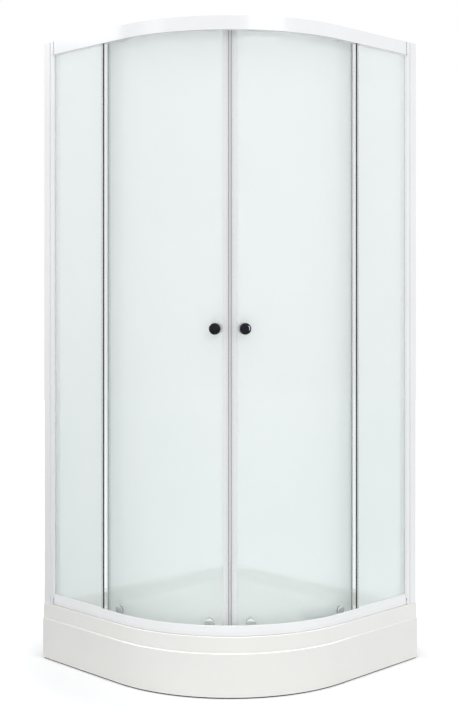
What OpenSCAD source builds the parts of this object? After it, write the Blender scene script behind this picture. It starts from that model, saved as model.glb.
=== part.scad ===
// Quadrant shower enclosure for a room corner: tray with a skirt, curved rails,
// two fixed glass panels and two curved doors that run round the front on rollers.
// The walls stand at the left (-X) and at the back (+Y). Millimetres, +Z up,
// origin on the floor under the middle of the square footprint.

/* [Overall size] */
// Side of the square corner footprint
footprint = 900; // [860:5:1000]
// Plan radius of the curved front
front_r = 500; // [480:5:520]
// Height from the floor to the top of the top rail
total_h = 2090; // [1900:10:2200]
// Height of the tray rim above the floor
tray_h = 190; // [180:5:230]

/* [Tray] */
// Thickness of the acrylic shell
shell_t = 5; // [4:0.5:7]
// Width of the flat rim along the curved front
rim_w = 62; // [60:1:80]
// Width of the flat rim along the walls
wall_rim_w = 30; // [20:1:60]
// Depth of the basin below the rim
basin_depth = 60; // [40:1:70]
// Corner radius of the basin in plan
basin_corner_r = 60; // [40:1:90]
// Height of the rim band above the skirt
band_h = 50; // [40:1:60]
// Step by which the rim band lies behind the skirt
band_step = 3; // [2:0.5:4]
// Rounding of the long upper edges of band and skirt
edge_r = 3; // [2:0.25:4]

/* [Skirt] */
// Thickness of the skirt panel
skirt_t = 4; // [3:0.25:5]
// Gap between the skirt and the floor
skirt_floor_gap = 4; // [2:0.5:10]
// Depth of the flange folded back at the top of the skirt
skirt_flange = 20; // [14:1:26]
// Width of a skirt bracket
bracket_w = 24; // [16:1:34]
// Thickness of a skirt bracket
bracket_t = 3; // [2:0.25:4]
// Height of the leg that stands against the basin wall
bracket_leg_h = 26; // [18:1:34]
// Distance of the side brackets from the end of the arc
bracket_past = 200; // [160:5:230]

/* [Tray frame] */
// Side of the square frame tube
tube_w = 25; // [20:1:28]
// Wall of the frame tube
tube_t = 2; // [1.5:0.25:3]
// Thread diameter of a leg
stud_d = 12; // [10:1:14]
// Across-corners size of a leg nut
nut_d = 22; // [19:0.5:24]
// Height of a leg nut
nut_h = 10; // [7:0.5:12]
// Diameter of a foot pad
pad_d = 44; // [36:1:50]
// Height of the flat part of a foot pad
pad_h = 6; // [4:0.5:8]
// Height of the socket on a foot pad
pad_socket_h = 10; // [7:0.5:12]

/* [Waste] */
// Distance of the waste from the left wall
waste_from_left = 610; // [580:5:640]
// Distance of the waste from the back wall
waste_from_back = 190; // [175:5:215]
// Diameter of the flange on the basin floor
flange_d = 116; // [110:1:120]
// Inner radius of the trap cup
cup_r = 43; // [41:0.5:45]
// Height of the bottom of the trap cup above the floor
cup_z = 45; // [36:1:48]
// Depth of the sleeve and of the cover's collar below the basin
sleeve_l = 15; // [12:0.5:20]
// Diameter of the waste cover
cover_d = 108; // [100:1:109]
// Outer radius of the outlet spigot
spigot_r = 20; // [16:0.5:21]
// Height of the spigot axis above the bottom of the trap cup
spigot_up = 30; // [27:1:34]
// Length of the outlet spigot beyond its shoulder
spigot_l = 72; // [40:2:80]

/* [Wall profiles and posts] */
// Depth of the wall profile away from the wall
profile_d = 31; // [28:1:36]
// Width of the wall profile
profile_w = 34; // [33:0.5:37]
// Distance from the wall to the free face of the side post
post_reach = 51; // [48:1:58]
// Wall thickness of profiles and posts
extrusion_t = 2; // [1.5:0.25:2.5]
// Radius of a wall fixing hole
wall_hole_r = 2.75; // [2:0.25:3.5]
// Distance between wall fixing holes
wall_hole_pitch = 520; // [420:5:560]
// Distance of the outer frame screws from the ends of the profile
frame_screw_end = 150; // [100:5:200]
// Distance of the middle frame screw above the middle of the profile
frame_screw_up = 20; // [15:1:40]

/* [Rails] */
// Distance of the rail face behind the skirt face
rail_in = 5; // [4:0.5:8]
// Depth of the rail front, from its face to the glazing slot
nose_d = 6; // [5:0.25:7]
// Visible height of the bottom rail
bottom_rail_h = 32; // [28:1:40]
// Visible height of the top rail
top_rail_h = 44; // [43:1:50]
// Thickness of the rail ribs and ledges
rib_t = 2; // [1.5:0.25:2.5]
// Clear width of the roller track
track_w = 22.5; // [21.5:0.25:24]
// Height of the track lip in the bottom rail
low_lip_h = 4.5; // [3:0.25:5]
// Depth of the glazing slot in the bottom rail
low_slot_h = 8; // [6:0.5:9]
// Depth of the glazing slot in the top rail
high_slot_h = 14; // [12:0.5:15]
// Length of the cap that covers the end of a rail on the post
cap_reach = 11; // [8:0.5:14]
// Distance of the door stop from the post
stop_setback = 55; // [50:1:60]

/* [Glass] */
// Thickness of the glass
glass_t = 5; // [4:0.5:6]
// Thickness of the glazing gasket
gasket_t = 1.25; // [1:0.25:1.5]
// Distance from the wall to the free edge of the fixed glass
fixed_reach = 306; // [298:1:312]
// Distance from the wall to the trailing edge of the door
door_tail = 283; // [276:1:288]
// Gap between the rails and the door glass, measured inwards
door_gap = 5; // [4.5:0.25:7]

/* [Door seals] */
// Length of glass that a door seal grips
seal_grip = 13; // [10:0.5:16]
// Wall of a door seal
seal_t = 1; // [0.8:0.1:1.2]
// Width of the chamber that holds the magnet strip
magnet_chamber = 7; // [6:0.25:9]
// Thickness of the magnet strip
magnet_t = 3; // [2:0.25:4]
// Half of the gap between the two closed doors
meeting_gap = 0.2; // [0.15:0.05:0.6]
// Reach of the sealing fin on the trailing edge
fin_reach = 13; // [9:0.5:15]

/* [Rollers] */
// Distance of the outer rollers from the trailing edge of the door, along the glass
outer_roller_in = 77; // [70:1:90]
// Angle of the inner rollers from the meeting line
inner_roller_angle = 8; // [7:0.25:11]
// Radius of a top wheel
top_wheel_r = 11.5; // [10:0.25:12]
// Width of a top wheel
top_wheel_w = 5; // [4:0.25:6]
// Radius of a bottom wheel
low_wheel_r = 9; // [8.5:0.25:9.5]
// Width of a bottom wheel
low_wheel_w = 4; // [3:0.25:4.5]
// Gap between a wheel and the rail it runs on
wheel_gap = 0.3; // [0.3:0.05:0.5]
// Radius of a top wheel axle
top_axle_r = 2; // [1.5:0.1:2.5]
// Radius of a bottom wheel axle
low_axle_r = 1.5; // [1.2:0.1:1.8]
// Running clearance between axle and wheel, on the radius
axle_play = 0.05; // [0.02:0.01:0.1]
// Diameter of the round body of a lower roller
roller_d = 30; // [28:0.5:32]
// Height of the lower roller body above the tray rim
roller_up = 30; // [29:0.5:33]
// Lift of the release plunger
plunger_lift = 6; // [4:0.5:7]

/* [Knobs] */
// Distance of a knob from the meeting line, along the glass
knob_from_edge = 44; // [40:1:60]
// Height of the knobs above the tray rim
knob_up = 940; // [800:10:1100]
// Diameter of the knob head
knob_d = 36; // [30:1:42]
// Length of a knob from the glass to its front
knob_l = 38; // [32:1:44]
// Radius of the glass holes
glass_hole_r = 6; // [5:0.25:7]

/* [Hidden] */
$fn = 96;

// A small step that makes a cut pass right through a face
eps = 0.5;
// Clearance between parts that slide or slip together
slip = 0.3;
// Thin film between parts that are glued or clipped together
bond = 0.05;

half = footprint / 2;
// Centre of the curved front in plan
arc_x = half - front_r;
arc_y = front_r - half;

// Heights of the tray and of its frame
floor_z = tray_h - basin_depth;
band_z = tray_h - band_h;
frame_top_z = floor_z - shell_t;
frame_z = frame_top_z - tube_w;

// Distances behind the skirt face, from the front inwards
slot_in = rail_in + nose_d;
slot_w = glass_t + 2 * gasket_t;
rib_in = slot_in + slot_w;
track_in = rib_in + rib_t;
lip_in = track_in + track_w;
rail_back = lip_in + rib_t;
hood_back = rail_back + rib_t;
fixed_in = slot_in + gasket_t;
wheel_in = track_in + track_w / 2;
door_in = rail_back + door_gap;

// Heights of the rails and of the glass between them
sill_z = tray_h + bottom_rail_h;
track_z = tray_h + rib_t;
head_z = total_h - top_rail_h;
ledge_z = head_z + high_slot_h;
ledge_top = ledge_z + rib_t;
hood_z = total_h - rib_t;
fixed_z0 = track_z + gasket_t;
fixed_z1 = ledge_z - gasket_t;
door_z0 = track_z + low_slot_h;
door_z1 = ledge_z - 4;

// Radii of the door glass about the centre of the curved front
door_r = front_r - door_in;
door_ri = door_r - glass_t;
door_rm = door_r - glass_t / 2;
meeting_angle = -45;

// Row positions along the straight part, measured from the back wall
post_y = half - post_reach;
cap_y = post_y - rib_t;
fixed_y = half - fixed_reach;
tail_y = half - door_tail;
// An outer roller that no longer fits on the straight moves the rest of its way round the arc
outer_roller_y = max(arc_y, tail_y - outer_roller_in);
outer_roller_angle = -ang(outer_roller_y + outer_roller_in - tail_y);

// Wheel axles
top_axle_z = ledge_top + wheel_gap + top_wheel_r;
low_axle_z = track_z + wheel_gap + low_wheel_r;
roller_z = tray_h + roller_up;
hanger_in = wheel_in + top_wheel_w / 2 + 1.5;
hanger_t = 2.5;
bar_in = wheel_in + low_wheel_w / 2 + 1.75;
bar_t = 2.6;
bar_half = 3;

// Radius at a given distance behind the skirt face
function rad(inset) = front_r - inset;
// Angle that spans a length along the door glass
function ang(len) = len / door_rm * 180 / PI;

knob_angle = meeting_angle + ang(knob_from_edge);
knob_z = tray_h + knob_up;

waste_x = waste_from_left - half;
waste_y = half - waste_from_back;

// Solid with the corner plan: square at the walls and curved at the front
module corner_plan(front_in, wall_in, z, h) {
  side = footprint - front_in - wall_in;
  intersection() {
    translate([-half + wall_in, -half + front_in, z]) cube([side, side, h]);
    union() {
      translate([arc_x, arc_y, z]) cylinder(r = rad(front_in), h = h);
      translate([-half + wall_in, arc_y, z]) cube([side, half - wall_in - arc_y, h]);
      translate([-half + wall_in, -half + front_in, z]) cube([half - wall_in + arc_x, side, h]);
    }
  }
}

// Plan of the basin, larger all round by grow, with rounded corners at the walls
module basin_plan(grow, z, h) {
  x0 = -half + wall_rim_w - grow;
  x1 = half - rim_w + grow;
  side = x1 - x0;
  r = basin_corner_r + grow;
  intersection() {
    union() {
      translate([x0 + r, -x1, z]) cube([side - 2 * r, side, h]);
      translate([x0, -x1 + r, z]) cube([side, side - 2 * r, h]);
      translate([x0 + r, -x0 - r, z]) cylinder(r = r, h = h);
      translate([x1 - r, -x0 - r, z]) cylinder(r = r, h = h);
      translate([x0 + r, -x1 + r, z]) cylinder(r = r, h = h);
    }
    corner_plan(rim_w - grow, wall_rim_w - grow, z, h);
  }
}

// A flat section, drawn as radius and height, swept round the arc between two angles
module sweep_arc(a0, a1) {
  translate([arc_x, arc_y, 0]) rotate([0, 0, a1]) rotate_extrude(angle = a0 - a1, $fn = 180) children();
}

// The same section swept along the right-hand straight between two row positions
module sweep_straight(y0, y1) {
  translate([arc_x, y1, 0]) rotate([90, 0, 0]) linear_extrude(height = y1 - y0) children();
}

// The same section swept along both straights and the arc, out to row position y1
module sweep_front(y1) {
  sweep_arc(-90, 0) children();
  both_sides() sweep_straight(arc_y, y1) children();
}

// Rectangle in a section: distances behind the skirt face, then heights
module bar2d(in0, in1, z0, z1) {
  translate([rad(in1), z0]) square([in1 - in0, z1 - z0]);
}

module both_sides() {
  children();
  mirror([1, 1, 0]) children();
}

module left() {
  mirror([1, 1, 0]) children();
}

// Band of given inset and thickness whose upper outer edge is rounded
module rounded_band2d(in0, in1, z0, z1) {
  intersection() {
    bar2d(in0, in1, z0, z1);
    union() {
      bar2d(in0, in1, z0, z1 - edge_r);
      bar2d(in0 + edge_r, in1, z0, z1);
      translate([rad(in0 + edge_r), z1 - edge_r]) circle(r = edge_r);
    }
  }
}

module tray() {
  color("white") difference() {
    union() {
      corner_plan(band_step + edge_r, 0, tray_h - shell_t, shell_t);
      sweep_front(half) rounded_band2d(band_step, band_step + shell_t, band_z, tray_h);
      both_sides() translate([-half, half - shell_t, band_z])
        cube([footprint - band_step - edge_r, shell_t, band_h]);
      basin_plan(shell_t, frame_top_z, basin_depth + shell_t);
    }
    basin_plan(0, floor_z, basin_depth + eps);
    translate([waste_x, waste_y, frame_top_z - eps]) cylinder(r = cup_r, h = shell_t + 2 * eps);
  }
}

module apron() {
  color("whitesmoke") difference() {
    sweep_front(half) {
      rounded_band2d(0, skirt_t, skirt_floor_gap, band_z);
      bar2d(edge_r, skirt_flange, band_z - skirt_t, band_z);
    }
    at_brackets() bracket_screw_hole();
  }
}

bracket_z = band_z - skirt_t - bracket_t;
basin_wall_in = rim_w - shell_t - bond;
// Half of the angle that a bracket spans on the arc
bracket_half = bracket_w / (2 * front_r) * 180 / PI;
// Row position of the skirt brackets on the straights and their angles on the arc
bracket_y = arc_y + bracket_past;
bracket_angles = [-82, -45, -8];
bracket_screw_r = 2;

module bracket2d() {
  bar2d(skirt_t + bond, basin_wall_in, bracket_z, bracket_z + bracket_t);
  bar2d(basin_wall_in - bracket_t, basin_wall_in, bracket_z, bracket_z + bracket_leg_h);
}

// Local frame of each bracket: X outwards along the radius
module at_brackets() {
  for (a = bracket_angles) translate([arc_x, arc_y, 0]) rotate([0, 0, a]) children();
  both_sides() translate([arc_x, bracket_y, 0]) children();
}

module bracket_screw_hole() {
  translate([rad(skirt_flange - 7), 0, bracket_z - eps]) cylinder(r = bracket_screw_r + slip, h = band_step * 5);
}

module apron_brackets() {
  color("silver") difference() {
    union() {
      for (a = bracket_angles) sweep_arc(a - bracket_half, a + bracket_half) bracket2d();
      both_sides() sweep_straight(bracket_y - bracket_w / 2, bracket_y + bracket_w / 2) bracket2d();
    }
    at_brackets() bracket_screw_hole();
  }
}

// Screw that holds a bracket to the skirt flange from below
module apron_screw() {
  head_h = 2.5;
  translate([rad(skirt_flange - 7), 0, bracket_z - head_h]) {
    cylinder(r = 2 * bracket_screw_r, h = head_h);
    cylinder(r = bracket_screw_r, h = head_h + bracket_t + skirt_t + 2);
  }
}

module apron_screws() {
  color("dimgray") at_brackets() apron_screw();
}

// Edges of the frame tubes: left, middle and right in X, front, middle and back in Y
tube_left_x = -half + wall_rim_w + 3.5 * tube_w;
tube_mid_x = waste_x - flange_d / 2 - 3 * tube_w;
tube_right_x = half - rim_w;
tube_mid_y = waste_y - flange_d / 2 - 7 * tube_w;
tube_front_y = tube_mid_y - 4 * tube_w;
tube_back_y = half - wall_rim_w - tube_w;
tube_start_left = -half + rim_w + tube_w / 3;
tube_start_mid = -half + 1.7 * rim_w;

// Frame tubes as corner in X and Y, length along X and length along Y
frame_tubes = [
  [tube_left_x, tube_start_left, tube_w, tube_back_y - tube_start_left + tube_w],
  [tube_mid_x, tube_start_mid, tube_w, tube_back_y - tube_start_mid + tube_w],
  [tube_left_x, tube_mid_y, tube_mid_x - tube_left_x + tube_w, tube_w],
  [tube_mid_x, tube_front_y, tube_right_x - tube_mid_x, tube_w],
  [tube_left_x, tube_back_y, tube_right_x - tube_left_x, tube_w]
];

// Leg positions in plan, on the centre lines of the tubes
leg_points = [
  [tube_left_x + tube_w / 2, tube_start_left + 1.5 * tube_w],
  [tube_left_x + tube_w / 2, tube_back_y + tube_w / 2],
  [tube_mid_x + tube_w / 2, tube_start_mid + tube_w],
  [tube_right_x - pad_d / 2, tube_front_y + tube_w / 2],
  [tube_right_x - pad_d / 2, tube_back_y + tube_w / 2],
  [(tube_left_x + tube_mid_x) / 2, tube_mid_y + tube_w / 2]
];

module tray_frame() {
  color("slategray") difference() {
    for (t = frame_tubes) translate([t[0], t[1], frame_z]) cube([t[2], t[3], tube_w]);
    for (t = frame_tubes)
      translate([t[0] + tube_t, t[1] + tube_t, frame_z + tube_t])
        cube([t[2] - 2 * tube_t, t[3] - 2 * tube_t, tube_w - 2 * tube_t]);
    for (p = leg_points) translate([p[0], p[1], frame_z - eps]) cylinder(d = stud_d + slip, h = tube_t + 2 * eps);
  }
}

module leg_studs() {
  color("silver") for (p = leg_points)
    translate([p[0], p[1], pad_h]) cylinder(d = stud_d, h = frame_z + tube_w / 2 - pad_h);
}

module leg_nuts() {
  color("gray") for (p = leg_points, z = [frame_z - nut_h, pad_h + pad_socket_h])
    translate([p[0], p[1], z]) difference() {
      cylinder(d = nut_d, h = nut_h, $fn = 6);
      translate([0, 0, -eps]) cylinder(d = stud_d, h = nut_h + 2 * eps);
    }
}

module foot_pads() {
  color("black") for (p = leg_points) translate([p[0], p[1], 0]) difference() {
    union() {
      cylinder(d = pad_d, h = pad_h);
      cylinder(d = nut_d, h = pad_h + pad_socket_h);
    }
    translate([0, 0, pad_h]) cylinder(d = stud_d, h = pad_socket_h + eps);
  }
}

// Heights and radii of the waste fitting
flange_t = 2.5;
sleeve_r = cup_r - slip;
sleeve_t = 3;
sleeve_z = frame_top_z - sleeve_l;
washer_t = 3;
cup_t = 3;
spigot_z = cup_z + spigot_up;
cover_gap = 2;
cover_t = 3.5;

module at_waste(z) {
  translate([waste_x, waste_y, z]) children();
}

module waste_flange() {
  color("lightgray") at_waste(0) difference() {
    union() {
      translate([0, 0, floor_z]) cylinder(d = flange_d, h = flange_t);
      translate([0, 0, sleeve_z]) cylinder(r = sleeve_r, h = floor_z - sleeve_z);
    }
    translate([0, 0, sleeve_z + 2]) cylinder(r = sleeve_r - sleeve_t, h = floor_z - sleeve_z + flange_t);
    translate([0, 0, sleeve_z - eps]) cylinder(r = sleeve_r - 2 * sleeve_t, h = flange_t + 2 * eps);
  }
}

module waste_cover() {
  collar_r = sleeve_r - sleeve_t - slip;
  collar_z = sleeve_z + 2;
  lid_z = floor_z + flange_t + cover_gap;
  color("gainsboro") at_waste(0) {
    translate([0, 0, lid_z]) rotate_extrude() {
      square([cover_d / 2 - cover_t / 2, cover_t]);
      translate([cover_d / 2 - cover_t / 2, cover_t / 2]) circle(d = cover_t);
    }
    difference() {
      translate([0, 0, collar_z]) cylinder(r = collar_r, h = lid_z - collar_z);
      translate([0, 0, collar_z - eps]) cylinder(r = collar_r - 2, h = lid_z - collar_z + eps);
      for (a = [0 : 45 : 315]) rotate([0, 0, a])
        translate([collar_r - 3, -9, collar_z + 4]) cube([6, 18, lid_z - collar_z - 4]);
    }
  }
}

module waste_gasket() {
  color("black") at_waste(frame_top_z - washer_t) difference() {
    cylinder(d = flange_d, h = washer_t);
    translate([0, 0, -eps]) cylinder(r = cup_r, h = washer_t + 2 * eps);
  }
}

module waste_trap() {
  cup_top = frame_top_z - washer_t;
  shoulder_y = cup_r + 3 * cup_t;
  color("white") at_waste(0) difference() {
    union() {
      translate([0, 0, cup_z]) cylinder(r = cup_r + cup_t, h = cup_top - cup_z);
      translate([0, 0, cup_top - cup_t]) cylinder(d = flange_d, h = cup_t);
      translate([0, 0, spigot_z]) rotate([-90, 0, 0]) cylinder(r = spigot_r + cup_t, h = shoulder_y);
      translate([0, 0, spigot_z]) rotate([-90, 0, 0]) cylinder(r = spigot_r, h = shoulder_y + spigot_l);
    }
    translate([0, 0, cup_z + cup_t]) cylinder(r = cup_r, h = cup_top - cup_z);
    translate([0, 0, spigot_z]) rotate([-90, 0, 0])
      cylinder(r = spigot_r - cup_t, h = shoulder_y + spigot_l + eps);
  }
}

profile_h = total_h - tray_h;
profile_x = half - rail_in - profile_w;
wall_hole_z = [for (i = [-1.5 : 1 : 1.5]) tray_h + profile_h / 2 + i * wall_hole_pitch];
frame_screw_z = [
  tray_h + frame_screw_end, tray_h + profile_h / 2 + frame_screw_up, total_h - frame_screw_end
];
frame_screw_y = half - profile_d + 9;
frame_screw_r = 2;

// Hole line of the screws that join a wall profile to its post
module frame_screw_holes(r) {
  for (z = frame_screw_z) translate([profile_x - eps, frame_screw_y, z]) rotate([0, 90, 0])
    cylinder(r = r, h = 2 * extrusion_t + 2 * eps + slip);
}

module wall_profile() {
  color("white") difference() {
    translate([profile_x, half - profile_d, tray_h]) cube([profile_w, profile_d, profile_h]);
    translate([profile_x + extrusion_t, half - profile_d - eps, tray_h - eps])
      cube([profile_w - 2 * extrusion_t, profile_d - extrusion_t + eps, profile_h + 2 * eps]);
    for (z = wall_hole_z) translate([profile_x + profile_w / 2, half - extrusion_t - eps, z])
      rotate([-90, 0, 0]) cylinder(r = wall_hole_r, h = extrusion_t + 2 * eps);
    frame_screw_holes(frame_screw_r);
  }
}

groove_d = 15;
post_x = profile_x + extrusion_t + slip;
post_w = profile_w - 2 * extrusion_t - 2 * slip;
post_d = post_reach - 8;

module side_post() {
  color("white") difference() {
    translate([post_x, post_y, tray_h]) cube([post_w, post_d, profile_h]);
    translate([post_x + extrusion_t, post_y + groove_d + extrusion_t, tray_h - eps])
      cube([post_w - 2 * extrusion_t, post_d - groove_d - 2 * extrusion_t, profile_h + 2 * eps]);
    translate([post_x + extrusion_t, post_y + extrusion_t, tray_h - eps])
      cube([half - rib_in - post_x - 2 * extrusion_t, groove_d + eps, profile_h + 2 * eps]);
    translate([half - rib_in, post_y - eps, tray_h - eps])
      cube([slot_w, groove_d + eps, profile_h + 2 * eps]);
    frame_screw_holes(frame_screw_r);
  }
}

module frame_screws() {
  color("silver") both_sides() for (z = frame_screw_z) translate([profile_x, frame_screw_y, z]) {
    rotate([0, -90, 0]) cylinder(r = 2 * frame_screw_r, h = 2.4);
    rotate([0, 90, 0]) cylinder(r = frame_screw_r, h = 2 * extrusion_t + slip + 3);
  }
}

module bottom_rail2d() {
  polygon([
    [rad(rail_in), tray_h],
    [rad(rail_in), tray_h + 0.38 * bottom_rail_h],
    [rad(slot_in - 2), sill_z - 1.5],
    [rad(slot_in - 1.2), sill_z],
    [rad(slot_in), sill_z],
    [rad(slot_in), track_z],
    [rad(rib_in), track_z],
    [rad(rib_in), track_z + low_slot_h - slip * 2],
    [rad(track_in), track_z + low_slot_h - slip * 2],
    [rad(track_in), track_z],
    [rad(lip_in), track_z],
    [rad(lip_in), track_z + low_lip_h],
    [rad(rail_back), track_z + low_lip_h],
    [rad(rail_back), tray_h]
  ]);
}

module bottom_rail() {
  color("white") sweep_front(cap_y) bottom_rail2d();
}

module top_rail2d() {
  bar2d(rail_in, rail_in + rib_t, head_z, total_h);
  bar2d(rail_in, hood_back, hood_z, total_h);
  bar2d(rail_back, hood_back, hood_z - 8, total_h);
  bar2d(rail_in, slot_in, head_z, head_z + rib_t);
  bar2d(slot_in - rib_t, slot_in, head_z, ledge_top);
  bar2d(slot_in - rib_t, rail_back, ledge_z, ledge_top);
  bar2d(rib_in, track_in, head_z, ledge_top);
  bar2d(lip_in, rail_back, ledge_z, ledge_top + 3);
}

module top_rail() {
  color("white") sweep_front(cap_y) top_rail2d();
}

cap_corner_r = 9;

// Plate that covers the end of a rail and laps onto the face of the side post
module end_cap(z0, z1, lap_z1, back) {
  difference() {
    union() {
      translate([half - back, cap_y, z0]) cube([back - rail_in, rib_t, z1 - z0]);
      intersection() {
        translate([half - rail_in - rib_t, cap_y, z0]) cube([rib_t, rib_t + cap_reach, lap_z1 - z0]);
        translate([half - rail_in - rib_t - eps, 0, 0]) rotate([90, 0, 90]) linear_extrude(rib_t + 2 * eps) {
          translate([cap_y, z0]) square([rib_t + cap_reach - cap_corner_r, lap_z1 - z0]);
          translate([cap_y, z0]) square([rib_t + cap_reach, lap_z1 - z0 - cap_corner_r]);
          translate([cap_y + rib_t + cap_reach - cap_corner_r, lap_z1 - cap_corner_r]) circle(r = cap_corner_r);
        }
      }
    }
    translate([half - rib_in, cap_y - eps, track_z]) cube([slot_w, rib_t + 2 * eps, ledge_z - track_z]);
  }
}

module rail_end_caps() {
  color("white") both_sides() {
    end_cap(head_z, total_h, total_h, hood_back);
    end_cap(tray_h, sill_z, tray_h + 0.38 * bottom_rail_h + cap_corner_r, rail_back);
  }
}

module door_stops() {
  color("dimgray") both_sides()
    translate([half - lip_in + 1, post_y - stop_setback, ledge_top]) cube([12, 11, 4]);
}

module fixed_glass() {
  color("azure", 0.5) translate([half - fixed_in - glass_t, fixed_y, fixed_z0])
    cube([glass_t, half - post_reach + groove_d - gasket_t - fixed_y, fixed_z1 - fixed_z0]);
}

// U-shaped strip round the fixed glass, in both rail slots and in the post groove
module glazing_gasket() {
  y0 = fixed_y + seal_grip / 2 + seal_t + 1;
  y1 = post_y + groove_d;
  difference() {
    union() {
      translate([half - rib_in, y0, track_z]) cube([slot_w, y1 - y0, low_slot_h - 2 * slip]);
      translate([half - rib_in, y0, head_z]) cube([slot_w, y1 - y0, high_slot_h]);
      translate([half - rib_in, post_y, track_z]) cube([slot_w, groove_d, ledge_z - track_z]);
    }
    translate([half - fixed_in - glass_t, fixed_y, fixed_z0])
      cube([glass_t, post_y + groove_d - gasket_t - fixed_y, fixed_z1 - fixed_z0]);
  }
}

module glazing_gaskets() {
  color("dimgray") both_sides() glazing_gasket();
}

module fixed_edge_seals() {
  color("black") both_sides() difference() {
    translate([half - fixed_in - glass_t - seal_t, fixed_y - seal_t, track_z])
      cube([glass_t + 2 * seal_t, seal_grip / 2 + seal_t, ledge_z - track_z]);
    translate([half - fixed_in - glass_t, fixed_y, track_z - eps])
      cube([glass_t, seal_grip / 2 + eps, ledge_z - track_z + 2 * eps]);
  }
}

// Section of a door piece: radii and heights
module ring2d(r0, r1, z0, z1) {
  translate([r0, z0]) square([r1 - r0, z1 - z0]);
}

lead_edge = meeting_gap + magnet_chamber + seal_t;
chamber_half = glass_t / 2 + 3.5;

module at_knob() {
  translate([arc_x, arc_y, knob_z]) rotate([0, 0, knob_angle]) children();
}

// Local frame of roller 1 near the trailing edge and of roller 2 near the meeting line
module at_roller(i) {
  angle = i == 1 ? outer_roller_angle : meeting_angle + inner_roller_angle;
  y = i == 1 ? outer_roller_y : arc_y;
  translate([arc_x, y, 0]) rotate([0, 0, angle]) children();
}

module door_glass() {
  color("azure", 0.5) difference() {
    union() {
      sweep_arc(meeting_angle + ang(lead_edge), 0) ring2d(door_ri, door_r, door_z0, door_z1);
      sweep_straight(arc_y, tail_y) ring2d(door_ri, door_r, door_z0, door_z1);
    }
    at_knob() translate([door_ri - 5, 0, 0]) rotate([0, 90, 0]) cylinder(r = glass_hole_r, h = glass_t + 10);
    for (i = [1, 2]) at_roller(i) translate([door_ri - 5, 0, roller_z]) rotate([0, 90, 0])
      cylinder(r = glass_hole_r, h = glass_t + 10);
  }
}

// Clear profile on the leading edge, with a chamber for the magnet strip
module magnet_seal() {
  a0 = meeting_angle + ang(meeting_gap);
  a1 = meeting_angle + ang(lead_edge - seal_t);
  a2 = meeting_angle + ang(lead_edge);
  a3 = meeting_angle + ang(lead_edge + seal_grip);
  color("lightgray", 0.8) {
    difference() {
      sweep_arc(a0, a2 - ang(bond)) ring2d(door_rm - chamber_half, door_rm + chamber_half, door_z0, door_z1);
      sweep_arc(a0 + ang(seal_t), a1)
        ring2d(door_rm - chamber_half + seal_t, door_rm + chamber_half - seal_t, door_z0 - eps, door_z1 + eps);
    }
    sweep_arc(a1, a3) ring2d(door_r + bond, door_r + seal_t, door_z0, door_z1);
    sweep_arc(a1, a3) ring2d(door_ri - seal_t, door_ri - bond, door_z0, door_z1);
  }
}

module magnet_strip() {
  a0 = meeting_angle + ang(meeting_gap + seal_t + bond);
  strip_r = chamber_half - seal_t - bond;
  color("black") sweep_arc(a0, a0 + ang(magnet_t)) ring2d(door_rm - strip_r, door_rm + strip_r, door_z0, door_z1);
}

// Profile on the trailing edge, with a fin that reaches towards the fixed glass
module edge_seal() {
  x0 = arc_x + door_ri - seal_t;
  x1 = arc_x + door_r + seal_t;
  color("lightgray", 0.8) translate([0, 0, door_z0]) linear_extrude(height = door_z1 - door_z0) {
    translate([x0, tail_y]) square([x1 - x0, seal_t]);
    translate([x0, tail_y - seal_grip]) square([seal_t, seal_grip]);
    translate([x1 - seal_t, tail_y - seal_grip]) square([seal_t, seal_grip]);
    polygon([[x1 - seal_t, tail_y + seal_t], [x1, tail_y], [x1 + fin_reach, tail_y + fin_reach],
      [x1 + fin_reach - seal_t, tail_y + fin_reach + seal_t]]);
  }
}

// Turned knob along +X: base, neck and domed head
module knob() {
  head_l = 0.52 * knob_l;
  round_r = 7;
  stud_hole = 8;
  difference() {
    rotate([0, 90, 0]) rotate_extrude() {
      square([knob_d * 0.38, 3]);
      square([knob_d * 0.2, knob_l - round_r]);
      translate([0, knob_l - head_l]) square([knob_d / 2 - round_r, head_l]);
      translate([0, knob_l - head_l + round_r * 0.7]) square([knob_d / 2, head_l - round_r * 1.7]);
      translate([knob_d / 2 - round_r, knob_l - round_r]) circle(r = round_r);
      translate([knob_d / 2 - round_r, knob_l - head_l + round_r * 0.7]) circle(r = round_r * 0.7);
      translate([knob_d / 2 - round_r, knob_l - head_l + round_r * 0.7]) square([round_r, round_r * 0.3]);
    }
    translate([-eps, 0, 0]) rotate([0, 90, 0]) cylinder(r = knob_stud_r, h = stud_hole + eps);
  }
}

knob_stud_r = 3;
knob_washer_t = 0.8;
knob_sink = 0.4;

module outer_knob() {
  color("dimgray") at_knob() translate([door_r + knob_washer_t, 0, 0]) knob();
}

module inner_knob() {
  color("dimgray") at_knob() translate([door_ri - knob_washer_t - knob_sink, 0, 0]) mirror([1, 0, 0]) knob();
}

// Stud through the glass, with a soft washer under each knob
module knob_stud() {
  color("silver") at_knob() {
    translate([door_ri - knob_washer_t - knob_sink - 7.5, 0, 0]) rotate([0, 90, 0])
      cylinder(r = knob_stud_r, h = glass_t + 2 * knob_washer_t + knob_sink + 15);
    for (x = [door_ri - knob_washer_t - knob_sink, door_r])
      translate([x, 0, 0]) rotate([0, 90, 0]) difference() {
        cylinder(r = knob_d * 0.36, h = knob_washer_t);
        translate([0, 0, -eps]) cylinder(r = knob_stud_r, h = knob_washer_t + 2 * eps);
      }
  }
}

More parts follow.
